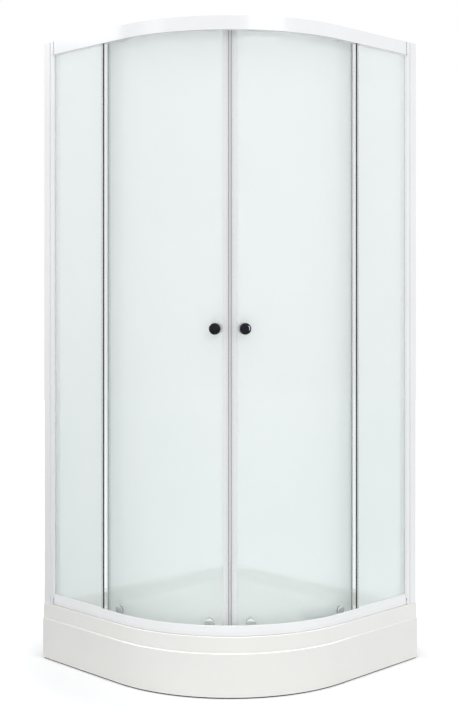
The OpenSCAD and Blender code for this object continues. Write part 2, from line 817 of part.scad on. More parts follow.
// Shoe over the top edge of the glass, with an upright and a plate for the axle
module top_hanger() {
  shoe_l = 30;
  arm_w = 12;
  bond = 0.5;
  shoe_top = ledge_z - 1.2;
  jaw_z = head_z + 6.5;
  back_x = door_ri - bond - hanger_t;
  plate_x = rad(hanger_in) - hanger_t;
  tab_z = top_axle_z + 1.8;
  difference() {
    union() {
      translate([back_x, -shoe_l / 2, jaw_z]) cube([hanger_t, shoe_l, shoe_top - jaw_z]);
      translate([back_x, -shoe_l / 2, shoe_top - 2]) cube([door_r + bond + 2 - back_x, shoe_l, 2]);
      translate([door_r + bond, -shoe_l / 2, jaw_z]) cube([2, shoe_l, shoe_top - jaw_z]);
      translate([back_x, -arm_w / 2, jaw_z]) cube([hanger_t, arm_w, tab_z + hanger_t - jaw_z]);
      translate([back_x, -arm_w / 2, tab_z]) cube([rad(hanger_in) - back_x, arm_w, hanger_t]);
      translate([plate_x, -arm_w / 2, top_axle_z - 5]) cube([hanger_t, arm_w, tab_z - top_axle_z + 5]);
    }
    translate([plate_x - eps, 0, top_axle_z]) rotate([0, 90, 0]) cylinder(r = top_axle_r, h = hanger_t + 2 * eps);
  }
}

module top_hangers() {
  color("silver") for (i = [1, 2]) at_roller(i) top_hanger();
}

module top_axle() {
  wheel_x0 = rad(wheel_in) - top_wheel_w / 2;
  start_x = rad(hanger_in) - hanger_t;
  translate([start_x, 0, top_axle_z]) rotate([0, 90, 0]) {
    cylinder(r = top_axle_r, h = wheel_x0 + top_wheel_w + slip + 1.2 - start_x);
    translate([0, 0, wheel_x0 + top_wheel_w + slip - start_x]) cylinder(r = top_axle_r + 1.6, h = 1.2);
    translate([0, 0, hanger_t]) cylinder(r = top_axle_r + 1, h = wheel_x0 - slip - start_x - hanger_t);
  }
}

module top_axles() {
  color("gray") for (i = [1, 2]) at_roller(i) top_axle();
}

module wheel(r, w, z, bore_r) {
  translate([rad(wheel_in) - w / 2, 0, z]) rotate([0, 90, 0]) difference() {
    cylinder(r = r, h = w);
    translate([0, 0, -eps]) cylinder(r = bore_r, h = w + 2 * eps);
  }
}

module top_wheel(i) {
  color("white") at_roller(i) wheel(top_wheel_r, top_wheel_w, top_axle_z, top_axle_r + axle_play);
}

// Distances along the radius of the lower roller body and its plunger slot
body_x0 = door_r + slip;
bar_x = rad(bar_in) - bar_t;
body_x1 = rad(bar_in) + 1.2;
slot_x0 = bar_x - slip;
boss_r = glass_hole_r - slip;
nut_l = 6;

module bottom_roller() {
  difference() {
    union() {
      translate([body_x0, 0, roller_z]) rotate([0, 90, 0]) cylinder(d = roller_d, h = body_x1 - body_x0);
      translate([door_ri - slip, 0, roller_z]) rotate([0, 90, 0]) cylinder(r = boss_r, h = glass_t + 2 * slip);
      translate([door_ri - slip - nut_l, 0, roller_z]) rotate([0, 90, 0]) cylinder(r = knob_stud_r, h = nut_l);
    }
    translate([slot_x0, -bar_half - slip, roller_z - roller_d])
      cube([bar_t + 2 * slip, 2 * (bar_half + slip), 2 * roller_d]);
    translate([slot_x0, -bar_half - 1.5, roller_z - roller_d])
      cube([body_x1 - slot_x0 + eps, 2 * bar_half + 3, roller_d - 6]);
  }
}

module bottom_rollers() {
  color("silver") for (i = [1, 2]) at_roller(i) bottom_roller();
}

module bottom_roller_nuts() {
  color("silver") for (i = [1, 2]) at_roller(i)
    translate([door_ri - slip - nut_l, 0, roller_z]) rotate([0, 90, 0]) difference() {
      cylinder(r = glass_hole_r + 6, h = nut_l - slip);
      translate([0, 0, -eps]) cylinder(r = knob_stud_r, h = nut_l + 2 * eps);
    }
}

// Release plunger: bar with a finger tab above and the axle of the wheel below
module bottom_plunger(i) {
  tab_z = roller_z + roller_d / 2 + 1;
  wheel_x0 = rad(wheel_in) - low_wheel_w / 2;
  wheel_x1 = wheel_x0 + low_wheel_w;
  face_x = bar_x + bar_t;
  color("gray") at_roller(i) {
    translate([bar_x, -bar_half, low_axle_z]) cube([bar_t, 2 * bar_half, tab_z - low_axle_z + 3]);
    translate([bar_x, 0, low_axle_z]) rotate([0, 90, 0]) cylinder(r = bar_half, h = bar_t);
    translate([bar_x, -bar_half - 2, tab_z]) cube([bar_t, 2 * bar_half + 4, 3]);
    translate([face_x, 0, low_axle_z]) rotate([0, 90, 0]) {
      cylinder(r = low_axle_r, h = wheel_x1 - face_x + slip + 1);
      cylinder(r = low_axle_r + 1, h = wheel_x0 - face_x - slip);
      translate([0, 0, wheel_x1 - face_x + slip]) cylinder(r = low_axle_r + 1.2, h = 1);
    }
  }
}

module bottom_wheel(i) {
  color("white") at_roller(i) wheel(low_wheel_r, low_wheel_w, low_axle_z, low_axle_r + axle_play);
}

tray();
apron();
apron_brackets();
apron_screws();
tray_frame();
leg_studs();
leg_nuts();
foot_pads();
waste_flange();
waste_cover();
waste_gasket();
waste_trap();
left() wall_profile();  // wall_profile_left
wall_profile();  // wall_profile_right
left() side_post();  // side_post_left
side_post();  // side_post_right
top_rail();
bottom_rail();
rail_end_caps();
frame_screws();
door_stops();
left() fixed_glass();  // fixed_glass_left
fixed_glass();  // fixed_glass_right
glazing_gaskets();
fixed_edge_seals();
left() door_glass();  // left_door_glass
left() magnet_seal();  // left_magnet_seal
left() magnet_strip();  // left_magnet_strip
left() edge_seal();  // left_edge_seal
left() outer_knob();  // left_outer_knob
left() inner_knob();  // left_inner_knob
left() knob_stud();  // left_knob_stud
left() top_hangers();  // left_top_hangers
left() top_axles();  // left_top_axles
left() top_wheel(1);  // left_top_wheel_1
left() top_wheel(2);  // left_top_wheel_2
left() bottom_rollers();  // left_bottom_rollers
left() bottom_roller_nuts();  // left_bottom_roller_nuts
left() bottom_plunger(1);  // left_bottom_plunger_1
left() bottom_plunger(2);  // left_bottom_plunger_2
left() bottom_wheel(1);  // left_bottom_wheel_1
left() bottom_wheel(2);  // left_bottom_wheel_2
door_glass();  // right_door_glass
magnet_seal();  // right_magnet_seal
magnet_strip();  // right_magnet_strip
edge_seal();  // right_edge_seal
outer_knob();  // right_outer_knob
inner_knob();  // right_inner_knob
knob_stud();  // right_knob_stud
top_hangers();  // right_top_hangers
top_axles();  // right_top_axles
top_wheel(1);  // right_top_wheel_1
top_wheel(2);  // right_top_wheel_2
bottom_rollers();  // right_bottom_rollers
bottom_roller_nuts();  // right_bottom_roller_nuts
bottom_plunger(1);  // right_bottom_plunger_1
bottom_plunger(2);  // right_bottom_plunger_2
bottom_wheel(1);  // right_bottom_wheel_1
bottom_wheel(2);  // right_bottom_wheel_2
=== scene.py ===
import math

import bmesh
import bpy
from mathutils import Matrix, Vector
from mathutils.geometry import tessellate_polygon


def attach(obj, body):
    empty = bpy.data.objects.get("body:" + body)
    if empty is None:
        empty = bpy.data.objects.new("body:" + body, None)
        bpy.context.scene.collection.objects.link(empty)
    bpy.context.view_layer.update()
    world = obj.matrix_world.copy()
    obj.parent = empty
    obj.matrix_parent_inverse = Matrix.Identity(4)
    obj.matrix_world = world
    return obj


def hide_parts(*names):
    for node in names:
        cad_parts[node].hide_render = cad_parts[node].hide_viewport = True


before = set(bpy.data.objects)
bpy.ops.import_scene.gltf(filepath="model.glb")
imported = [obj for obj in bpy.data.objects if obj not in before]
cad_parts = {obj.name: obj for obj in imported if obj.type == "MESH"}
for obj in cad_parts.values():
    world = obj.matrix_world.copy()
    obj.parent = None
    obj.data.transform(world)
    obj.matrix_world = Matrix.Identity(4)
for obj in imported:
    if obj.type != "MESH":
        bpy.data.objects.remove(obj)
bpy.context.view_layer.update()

# Camera. The enclosure is looked at from the room, on the diagonal of its corner, 4.8 m from
# where the two walls meet and at a standing person's chest height. The frame is shifted down
# so that the upright lines stay upright.
WALL_CORNER = Vector((-0.45, 0.45, 0.0))
INTO_ROOM = Vector((1.0, -1.0, 0.0)).normalized()
EYE_DISTANCE = 4.801
EYE_HEIGHT = 1.226
LENS_MM = 61.2
FRAME_SHIFT = (-0.0015, -0.0867)


def linked(name, data):
    """Object that carries the data and is linked to the scene."""
    made = bpy.data.objects.new(name, data)
    bpy.context.scene.collection.objects.link(made)
    return made


camera_data = bpy.data.cameras.new("room_camera")
camera_data.lens = LENS_MM
camera_data.shift_x, camera_data.shift_y = FRAME_SHIFT
camera = linked("room_camera", camera_data)
camera.location = WALL_CORNER + INTO_ROOM * EYE_DISTANCE + Vector((0, 0, EYE_HEIGHT))
camera.rotation_euler = (-INTO_ROOM).to_track_quat("-Z", "Y").to_euler()
bpy.context.scene.camera = camera
bpy.context.scene.view_settings.view_transform = "Standard"

# Studio. White fills the view behind the enclosure, and the air of the room lights it softly
# from every side.


def linear(shade):
    """Turns an sRGB hex colour into the linear colour that a shader takes."""
    parts = [int(shade[i : i + 2], 16) / 255 for i in (1, 3, 5)]
    return [c / 12.92 if c <= 0.04045 else ((c + 0.055) / 1.055) ** 2.4 for c in parts] + [1.0]


def add(tree, kind, settings=None, links=None):
    """Adds a node: settings name its properties or inputs, links join other sockets to them."""
    made = tree.nodes.new(kind)
    for key, value in (settings or {}).items():
        if isinstance(key, str) and hasattr(made, key):
            setattr(made, key, value)
        else:
            made.inputs[key].default_value = value
    for key, socket in (links or {}).items():
        tree.links.new(socket, made.inputs[key])
    return made


def bare_tree(owner):
    """The emptied node tree of a world or a material."""
    owner.use_nodes = True
    owner.node_tree.nodes.clear()
    return owner.node_tree


ROOM_LIGHT = 0.9
world = bpy.data.worlds.new("white_studio")
bpy.context.scene.world = world
sky = bare_tree(world)
sky_path = add(sky, "ShaderNodeLightPath").outputs
looked_at = sky_path["Is Camera Ray"]
for ray in ("Is Glossy Ray", "Is Transmission Ray"):
    either = {0: looked_at, 1: sky_path[ray]}
    looked_at = add(sky, "ShaderNodeMath", {"operation": "MAXIMUM"}, either).outputs[0]
room_air = add(sky, "ShaderNodeBackground", {"Color": linear("#f7f8fa"), "Strength": ROOM_LIGHT})
white_view = add(sky, "ShaderNodeBackground", {"Color": linear("#ffffff"), "Strength": 1.0})
shown = add(
    sky, "ShaderNodeMixShader", None,
    {0: looked_at, 1: room_air.outputs[0], 2: white_view.outputs[0]},
)
add(sky, "ShaderNodeOutputWorld", None, {"Surface": shown.outputs[0]})

# Paper sheet on the floor: its own white, plus a glow for the eye that grows away from the tray,
# so that the sheet meets the white behind it and only the enclosure's own shadow is left on it.
FLOOR_HALF = 9.0
GLOW_STARTS, GLOW_FULL = 0.62, 1.35
GLOW_NEAR, GLOW_FAR = 0.1, 0.6
GLOW_THROUGH_GLASS = 0.3


def noise(tree, place, per_metre, detail, roughness=0.5):
    """Socket of a noise that varies so many times a metre."""
    settings = {"Scale": per_metre, "Detail": detail, "Roughness": roughness}
    return add(tree, "ShaderNodeTexNoise", settings, {"Vector": place}).outputs[0]


def between(tree, shades, factor):
    """Colour socket that goes from one sRGB hex colour to another with a factor."""
    settings = {"data_type": "RGBA", 6: linear(shades[0]), 7: linear(shades[1])}
    return add(tree, "ShaderNodeMix", settings, {0: factor}).outputs[2]


def shaded(tree, fixed, links):
    """Ends a material's tree with one Principled shader."""
    shader = add(tree, "ShaderNodeBsdfPrincipled", fixed, links)
    add(tree, "ShaderNodeOutputMaterial", None, {"Surface": shader.outputs[0]})


def flat_sheet(name, corners, material):
    """Object of one flat face through corners in metres."""
    mesh = bpy.data.meshes.new(name)
    mesh.from_pydata(corners, [], [tuple(range(len(corners)))])
    mesh.materials.append(material)
    return linked(name, mesh)


paper = bpy.data.materials.new("white_backdrop_paper")
sheet = bare_tree(paper)
sheet_place = add(sheet, "ShaderNodeTexCoord").outputs["Object"]
away_from_tray = add(sheet, "ShaderNodeVectorMath", {"operation": "LENGTH"}, {0: sheet_place})
far_glow = add(
    sheet, "ShaderNodeMapRange",
    {"From Min": GLOW_STARTS, "From Max": GLOW_FULL, "To Min": GLOW_NEAR, "To Max": GLOW_FAR},
    {"Value": away_from_tray.outputs["Value"]},
)
sheet_path = add(sheet, "ShaderNodeLightPath").outputs
veiled_glow = add(
    sheet, "ShaderNodeMath", {"operation": "MULTIPLY", 1: GLOW_THROUGH_GLASS},
    {0: sheet_path["Is Transmission Ray"]},
)
glow = add(
    sheet, "ShaderNodeMath", {"operation": "MULTIPLY_ADD"},
    {0: sheet_path["Is Camera Ray"], 1: far_glow.outputs[0], 2: veiled_glow.outputs[0]},
)
paper_tone = between(sheet, ("#f6f6f6", "#fafafa"), noise(sheet, sheet_place, 60.0, 3.0))
shaded(
    sheet, {"Roughness": 1.0, "Specular IOR Level": 0.0, "Emission Color": linear("#ffffff")},
    {"Base Color": paper_tone, "Emission Strength": glow.outputs[0]},
)
floor_corners = [
    (FLOOR_HALF * x, FLOOR_HALF * y, 0) for x, y in ((-1, -1), (1, -1), (1, 1), (-1, 1))
]
floor = flat_sheet("backdrop_floor", floor_corners, paper)

# Lamps. Soft boxes stand high in front and at the sides, a large one hangs overhead, one lights
# the walls' side without touching the paper, and two low fills open the shadows. The last two
# are only mirrored, each by its own pieces: the bevelled white edges, and the right-hand knob.
# Name, place, the point it faces, side lengths, spread in degrees, power, whether it lights
# matt surfaces, and whether it is mirrored and seen through the glass.
LAMPS = [
    ("left_high_box", (-2.7, -1.91, 3.04), (0.0, -0.2, 2.2), (1.2, 0.76), 90, 1.7, True, True),
    ("front_high_box", (-0.77, -3.3, 3.04), (0.0, 0.0, 2.2), (1.1, 0.76), 90, 0.7, True, True),
    ("right_high_box", (3.15, -1.06, 3.0), (0.0, 0.0, 1.5), (1.62, 0.7), 120, 5.0, True, True),
    ("overhead_soft", (0.3, -0.3, 4.2), (0.0, 0.0, 0.0), (2.6, 2.6), 180, 30.0, True, True),
    ("wall_side_soft", (-1.7, 1.7, 3.1), (0.0, 0.0, 0.3), (2.6, 1.8), 180, 22.0, True, False),
    ("left_soft_fill", (-3.2, -3.0, 1.3), (-0.2, -0.3, 1.2), (1.6, 2.0), 180, 5.5, True, False),
    ("front_low_fill", (2.0, -2.2, 0.35), (0.3, -0.3, 0.1), (0.8, 0.4), 70, 0.6, True, False),
    ("edge_panel", (0.2, -0.2, 3.2), (0.2, -0.2, 0.0), (8.0, 8.0), 180, 850.0, False, True),
    ("knob_panel", (3.0, 0.5, 1.5), (0.3, -0.25, 1.13), (1.3, 2.6), 180, 420.0, False, True),
]
shiny_edges = bpy.data.collections.new("pieces with bright edges")
bright_knob = bpy.data.collections.new("knob on the right")
not_the_paper = bpy.data.collections.new("everything but the paper")
not_the_paper.objects.link(floor)
not_the_paper.collection_objects[0].light_linking.link_state = "EXCLUDE"
RECEIVERS = {"edge_panel": shiny_edges, "knob_panel": bright_knob, "wall_side_soft": not_the_paper}
for lamp_name, place, aim, (wide, tall), spread, power, matt, seen in LAMPS:
    lamp_data = bpy.data.lights.new(lamp_name, "AREA")
    lamp_data.shape = "RECTANGLE"
    lamp_data.size, lamp_data.size_y = wide, tall
    lamp_data.energy = power
    lamp_data.spread = math.radians(spread)
    lamp = linked(lamp_name, lamp_data)
    lamp.location = place
    lamp.rotation_euler = (Vector(aim) - Vector(place)).to_track_quat("-Z", "Y").to_euler()
    lamp.visible_camera = False
    lamp.visible_diffuse = matt
    lamp.visible_glossy = seen
    lamp.visible_transmission = matt and seen
    lamp.light_linking.receiver_collection = RECEIVERS.get(lamp_name)

# Grey card. It stands low on the left, out of the picture, and takes light away from the left
# of the tray.
CARD_ENDS = [(-1.7, -0.7), (-0.4, -1.8)]
CARD_LOW, CARD_HIGH = 0.001, 0.55
card_corners = [(*end, CARD_LOW) for end in CARD_ENDS]
card_corners += [(*end, CARD_HIGH) for end in reversed(CARD_ENDS)]
card_paint = bpy.data.materials.new("matt_grey_card")
shaded(bare_tree(card_paint), {"Base Color": linear("#303030"), "Roughness": 0.95}, None)
card = flat_sheet("left_grey_card", card_corners, card_paint)
card.visible_camera = card.visible_glossy = card.visible_transmission = False

# Shower tray. A 5 mm sheet of glossy white acrylic, drawn down hot into a shallow basin with
# a flat rim and a turned-down band, so every edge of it is softly rounded.
MM = 0.001
FOOTPRINT_HALF = 450.0
FRONT_R = 500.0
ARC_X = FOOTPRINT_HALF - FRONT_R
ARC_Y = FRONT_R - FOOTPRINT_HALF
TRAY_TOP = 190.0
TRAY_FLOOR = 130.0
TRAY_WALL = 5.0
BAND_LOW = 140.0
BAND_IN = 3.0
BAND_ROUND = 4.5
FRONT_RIM = 62.0
WALL_RIM = 30.0
BASIN_R = 60.0
LIP_ROUND = 5.0
FLOOR_ROUND = 18.0
WASTE_X = 160.0
WASTE_Y = 260.0
DRAIN_R = 43.0
UNDER_ROUND = 14.0
BAND_EDGE = 0.8
HOLD = 1.2


def turns(start, end, steps):
    """Angles in radians, evenly spaced between two angles in degrees, both ends included."""
    return [math.radians(start + (end - start) * i / steps) for i in range(steps + 1)]


def arc(x, y, radius, start, end, steps, *z):
    """Points round a middle, at even angles in degrees, with a height if one is given."""
    angles = turns(start, end, steps)
    return [(x + radius * math.cos(a), y + radius * math.sin(a), *z) for a in angles]


def quarter(radius, steps):
    """Steps of a quarter round, as (in, down): from (0, radius) to (radius, 0)."""
    angles = turns(0, 90, steps)
    return [(radius * (1 - math.cos(a)), radius * (1 - math.sin(a))) for a in angles]


def tray_ring(front_in, wall_in, corner_r, z):
    """Outline of the tray seen from above, pulled in from the front and from the walls."""
    low, high = front_in - FOOTPRINT_HALF + corner_r, FOOTPRINT_HALF - wall_in - corner_r
    ring = arc(ARC_X, ARC_Y, FRONT_R - front_in, -90, 0, 72, z)
    for x, y, first in ((-low, high, 0), (-high, high, 90), (-high, low, 180)):
        ring += arc(x, y, corner_r, first, first + 90, 10, z)
    return ring


def band_ring(back, z):
    """Ring round the tray's band, pulled back from its outer face."""
    return tray_ring(BAND_IN + back, back, 0, z)


def basin_ring(inner, z):
    """Ring round the basin, pulled in from its wall."""
    return tray_ring(FRONT_RIM + inner, WALL_RIM + inner, BASIN_R - inner, z)


def drain_ring(like, radius, z):
    """Circle round the waste with one point for each point of another ring."""
    ring = []
    for x, y, _ in like:
        a = math.atan2(y - WASTE_Y, x - WASTE_X)
        ring.append((WASTE_X + radius * math.cos(a), WASTE_Y + radius * math.sin(a), z))
    return ring


def loft(rings, closed=False):
    """Skins rings of equal length one to the next, with end caps unless the loop is closed."""
    size = len(rings[0])
    points = [p for ring in rings for p in ring]
    count = len(rings)
    faces = []
    for i in range(count if closed else count - 1):
        a, b = i * size, ((i + 1) % count) * size
        faces += [(a + k, a + (k + 1) % size, b + (k + 1) % size, b + k) for k in range(size)]
    if not closed:
        faces.append(tuple(reversed(range(size))))
        faces.append(tuple(range((count - 1) * size, count * size)))
    return points, faces


def joined(shells):
    """Several shells as one list of points and faces."""
    points, faces = [], []
    for more_points, more_faces in shells:
        base = len(points)
        points += more_points
        faces += [tuple(base + i for i in f) for f in more_faces]
    return points, faces


def tidy_mesh(mesh, crease):
    """Merges doubles, turns faces outwards and shades smooth up to the crease angle."""
    work = bmesh.new()
    work.from_mesh(mesh)
    bmesh.ops.remove_doubles(work, verts=work.verts, dist=2e-6)
    bmesh.ops.dissolve_degenerate(work, edges=work.edges, dist=1e-7)
    bmesh.ops.recalc_face_normals(work, faces=work.faces)
    work.to_mesh(mesh)
    work.free()
    mesh.shade_smooth()
    mesh.set_sharp_from_angle(angle=math.radians(crease))


def make_piece(name, shell, material, crease=35.0):
    """Object from points in millimetres, at the origin, smooth between its creases."""
    points, faces = shell
    mesh = bpy.data.meshes.new(name)
    mesh.from_pydata([[c * MM for c in p] for p in points], [], faces)
    tidy_mesh(mesh, crease)
    mesh.materials.append(material)
    return linked(name, mesh)


def surface(name, shades, roughness, mottle_mm, grain_mm, grain_depth_mm, fixed=None):
    """Material whose colour, gloss and relief vary a little, each at a real size in millimetres.

    shades are two near colours, roughness is a range, and fixed sets the shader's own sockets."""
    made = bpy.data.materials.new(name)
    tree = bare_tree(made)
    place = add(tree, "ShaderNodeTexCoord").outputs["Object"]
    cloud = noise(tree, place, 1 / (mottle_mm * MM), 4.0, 0.55)
    grain = noise(tree, place, 1 / (grain_mm * MM), 3.0)
    middle = {"From Min": 0.3, "From Max": 0.7}
    spread = add(tree, "ShaderNodeMapRange", middle, {"Value": cloud})
    gloss_range = {**middle, "To Min": roughness[0], "To Max": roughness[1]}
    gloss = add(tree, "ShaderNodeMapRange", gloss_range, {"Value": grain})
    depth = {"Strength": 1.0, "Distance": grain_depth_mm * MM}
    relief = add(tree, "ShaderNodeBump", depth, {"Height": grain})
    links = {
        "Base Color": between(tree, shades, spread.outputs[0]), "Roughness": gloss.outputs[0],
        "Normal": relief.outputs[0],
    }
    shaded(tree, fixed, links)
    return made


# Cast acrylic: hard, wet-looking white, with the faint long waves that vacuum forming leaves.
sanitary_acrylic = surface(
    "cast_acrylic_white", ("#eeede8", "#f1f0ec"), (0.12, 0.2), mottle_mm=180, grain_mm=45,
    grain_depth_mm=0.35, fixed={"IOR": 1.49, "Coat Weight": 0.3, "Coat Roughness": 0.06},
)

UNDERSIDE = TRAY_FLOOR - TRAY_WALL
rings = [
    band_ring(TRAY_WALL, BAND_LOW), band_ring(BAND_EDGE, BAND_LOW),
    band_ring(0, BAND_LOW + BAND_EDGE), band_ring(0, BAND_LOW + BAND_EDGE + HOLD),
    band_ring(0, TRAY_TOP - BAND_ROUND - HOLD),
]
rings += [band_ring(back, TRAY_TOP - down) for back, down in quarter(BAND_ROUND, 6)]
rings += [band_ring(BAND_ROUND + HOLD, TRAY_TOP), basin_ring(-LIP_ROUND - HOLD, TRAY_TOP)]
rings += [basin_ring(-out, TRAY_TOP - down) for down, out in quarter(LIP_ROUND, 6)]
rings += [basin_ring(0, z) for z in (TRAY_TOP - LIP_ROUND - HOLD, TRAY_FLOOR + FLOOR_ROUND + HOLD)]
rings += [basin_ring(inner, TRAY_FLOOR + up) for inner, up in quarter(FLOOR_ROUND, 8)]
rings.append(basin_ring(FLOOR_ROUND + HOLD, TRAY_FLOOR))
rings.append(drain_ring(rings[-1], DRAIN_R, TRAY_FLOOR))
rings.append(drain_ring(rings[-1], DRAIN_R, UNDERSIDE))
rings.append(basin_ring(UNDER_ROUND, UNDERSIDE))
for inner, up in reversed(quarter(UNDER_ROUND, 5)):
    rings.append(basin_ring(inner - TRAY_WALL, UNDERSIDE + up))
rings += [basin_ring(-TRAY_WALL, TRAY_TOP - TRAY_WALL), band_ring(TRAY_WALL, TRAY_TOP - TRAY_WALL)]
tray = make_piece("shower_tray", loft(rings, closed=True), sanitary_acrylic)
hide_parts("tray")
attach(tray, "enclosure")
shiny_edges.objects.link(tray)

# Skirt. One strip of the same white acrylic bent round the front under the tray's band. It
# stands 3 mm proud of the band, stops short of the floor, and is folded back at the top.
ARC_STEPS = 72
ARC_HOLD = 2.0


def front_path(wall_y, last_angle=-90.0, steps=ARC_STEPS):
    """Plan line of the front from a point on the right straight round the arc to an angle."""
    bend = arc(ARC_X, ARC_Y, FRONT_R, 0, last_angle, steps)
    return [(FOOTPRINT_HALF, wall_y), (FOOTPRINT_HALF, ARC_Y + ARC_HOLD), *bend]


STRAIGHT = 0.02
SUPPORT = 0.9


def soften(outline, radius, steps=3):
    """Rounds the corners of an outline, with a support point on either side of each rounding.

    A corner too short for the radius gets a smaller one, and a straight-through point stays."""
    result = []
    count = len(outline)
    for i, corner in enumerate(outline):
        corner = Vector(corner)
        before = Vector(outline[i - 1]) - corner
        after = Vector(outline[(i + 1) % count]) - corner
        if abs(before.normalized().cross(after.normalized())) < STRAIGHT:
            result.append(tuple(corner))
            continue
        r = min(radius, 0.4 * before.length, 0.4 * after.length)
        bend = []
        for k in range(steps + 1):
            t = k / steps
            first, last = corner + before.normalized() * r, corner + after.normalized() * r
            bend.append(tuple((1 - t) ** 2 * first + 2 * t * (1 - t) * corner + t * t * last))
        lead = corner + before.normalized() * min(r + SUPPORT, 0.48 * before.length)
        tail = corner + after.normalized() * min(r + SUPPORT, 0.48 * after.length)
        result += [tuple(lead), *bend, tuple(tail)]
    return result


def shape_tree(name, own, held):
    """Geometry tree that takes its host's own mesh, one more object and a finish."""
    tree = bpy.data.node_groups.new(name, "GeometryNodeTree")
    sockets = [
        tree.interface.new_socket(label, in_out="INPUT", socket_type=f"NodeSocket{kind}")
        for label, kind in ((own, "Geometry"), (held, "Object"), ("Finish", "Material"))
    ]
    tree.interface.new_socket("Piece", in_out="OUTPUT", socket_type="NodeSocketGeometry")
    given = tree.nodes.new("NodeGroupInput").outputs
    shape = add(tree, "GeometryNodeObjectInfo", None, {"Object": given[held]})
    return tree, given, shape.outputs["Geometry"], [socket.identifier for socket in sockets[1:]]


def hand_out(tree, given, geometry):
    """Makes copies real, gives them the finish and lets them leave the tree."""
    real = add(tree, "GeometryNodeRealizeInstances", None, {"Geometry": geometry})
    finish = {"Geometry": real.outputs[0], "Material": given["Finish"]}
    painted = add(tree, "GeometryNodeSetMaterial", None, finish)
    add(tree, "NodeGroupOutput", None, {0: painted.outputs[0]})


def settled(host, tree, inputs, name, crease):
    """Evaluates the tree on its host object and keeps the result as a plain mesh object."""
    modifier = host.modifiers.new("shape", "NODES")
    modifier.node_group = tree
    for key, value in inputs.items():
        modifier[key] = value
    graph = bpy.context.evaluated_depsgraph_get()
    mesh = bpy.data.meshes.new_from_object(host.evaluated_get(graph))
    host.modifiers.remove(modifier)
    bpy.data.objects.remove(host)
    mesh.name = name
    tidy_mesh(mesh, crease)
    return linked(name, mesh)


def wire(name, points, loop=False):
    """Object that holds a line or a loop of edges through points in millimetres."""
    mesh = bpy.data.meshes.new(name)
    count = len(points)
    edges = [(i, (i + 1) % count) for i in range(count if loop else count - 1)]
    mesh.from_pydata([[c * MM for c in (*p, 0)[:3]] for p in points], edges, [])
    return linked(name, mesh)


# The section lies in distance behind the line and height below zero, and the line is the host.
sweep_tree, sweep_in, edge_form, sweep_keys = shape_tree(
    "section swept along a line", "Line", "Section"
)
line = add(sweep_tree, "GeometryNodeMeshToCurve", None, {"Mesh": sweep_in["Line"]})
along_line = {"Curve": line.outputs[0]}
upright = add(sweep_tree, "GeometryNodeSetCurveNormal", {"mode": "Z_UP"}, along_line)
edge = add(sweep_tree, "GeometryNodeMeshToCurve", None, {"Mesh": edge_form})
skin = add(
    sweep_tree, "GeometryNodeCurveToMesh", {"Fill Caps": True},
    {"Curve": upright.outputs[0], "Profile Curve": edge.outputs[0]},
)
hand_out(sweep_tree, sweep_in, skin.outputs[0])


def swept(name, outline, line, material, crease=35.0):
    """Sweeps an outline of (distance behind the front, height) along a plan line."""
    section = wire(name + "_section", [(inset, -z) for inset, z in outline], loop=True)
    host = wire(name + "_line", line)
    piece = settled(host, sweep_tree, dict(zip(sweep_keys, (section, material))), name, crease)
    bpy.data.objects.remove(section)
    return piece


def whole_front(wall_y):
    """Plan line of the front from wall to wall, ending wall_y from the middle of the footprint."""
    return front_path(wall_y) + [(-ARC_Y - ARC_HOLD, -FOOTPRINT_HALF), (-wall_y, -FOOTPRINT_HALF)]


def offsets(x, y, steps):
    """Points given by how far each stands from one corner."""
    return [(x + dx, y + dy) for dx, dy in steps]


SKIRT_LOW = 4.0
SKIRT_T = 4.0
SKIRT_FOLD = 20.0
# Thermoformed acrylic skirt: a little less glossy than the tray, with very faint ripple.
skirt_acrylic = surface(
    "thermoformed_acrylic_white", ("#ecebe7", "#efeeea"), (0.16, 0.24), mottle_mm=150, grain_mm=60,
    grain_depth_mm=0.3, fixed={"IOR": 1.49, "Coat Weight": 0.25, "Coat Roughness": 0.08},
)
skirt_outline = [
    *offsets(0.0, SKIRT_LOW, [(0.6, 0.0), (0.0, 0.6), (0.0, 1.8)]),
    *offsets(0.0, BAND_LOW, [(0.0, -5.5), (0.0, -4.1), (0.2, -3.7), (3.4, -0.2), (3.8, 0.0)]),
    *offsets(0.0, BAND_LOW, [(5.0, 0.0), (SKIRT_FOLD, 0.0), (SKIRT_FOLD, -SKIRT_T)]),
    *offsets(SKIRT_T, BAND_LOW - SKIRT_T, [(2.0, 0.0), (0.0, -2.0)]), (SKIRT_T, SKIRT_LOW),
]
skirt = swept("front_skirt", skirt_outline, whole_front(FOOTPRINT_HALF), skirt_acrylic)
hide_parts("apron")
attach(skirt, "enclosure")
shiny_edges.objects.link(skirt)

# Painted shadow. A dark strip lies on the paper just behind the skirt and draws the shade in the
# gap below the skirt as a thin dark line.
# Near-black colour painted as the shadow in the gap below the skirt.
gap_shadow_paint = surface(
    "painted_gap_shadow", ("#1a1a1b", "#232324"), (0.7, 0.85), mottle_mm=60, grain_mm=4.0,
    grain_depth_mm=0.2,
)
GAP_FROM, GAP_TO, GAP_Z = 4.0, 70.0, 0.2
gap_points = []
for inset in (GAP_FROM, GAP_TO):
    bend = arc(ARC_X, ARC_Y, FRONT_R - inset, -90, 0, ARC_STEPS, GAP_Z)
    left_end = (-FOOTPRINT_HALF, inset - FOOTPRINT_HALF, GAP_Z)
    gap_points += [left_end, *bend, (FOOTPRINT_HALF - inset, FOOTPRINT_HALF, GAP_Z)]
row = len(gap_points) // 2
gap_faces = [(i, i + 1, row + i + 1, row + i) for i in range(row - 1)]
bare_floor = make_piece("bare_floor", (gap_points, gap_faces), gap_shadow_paint)

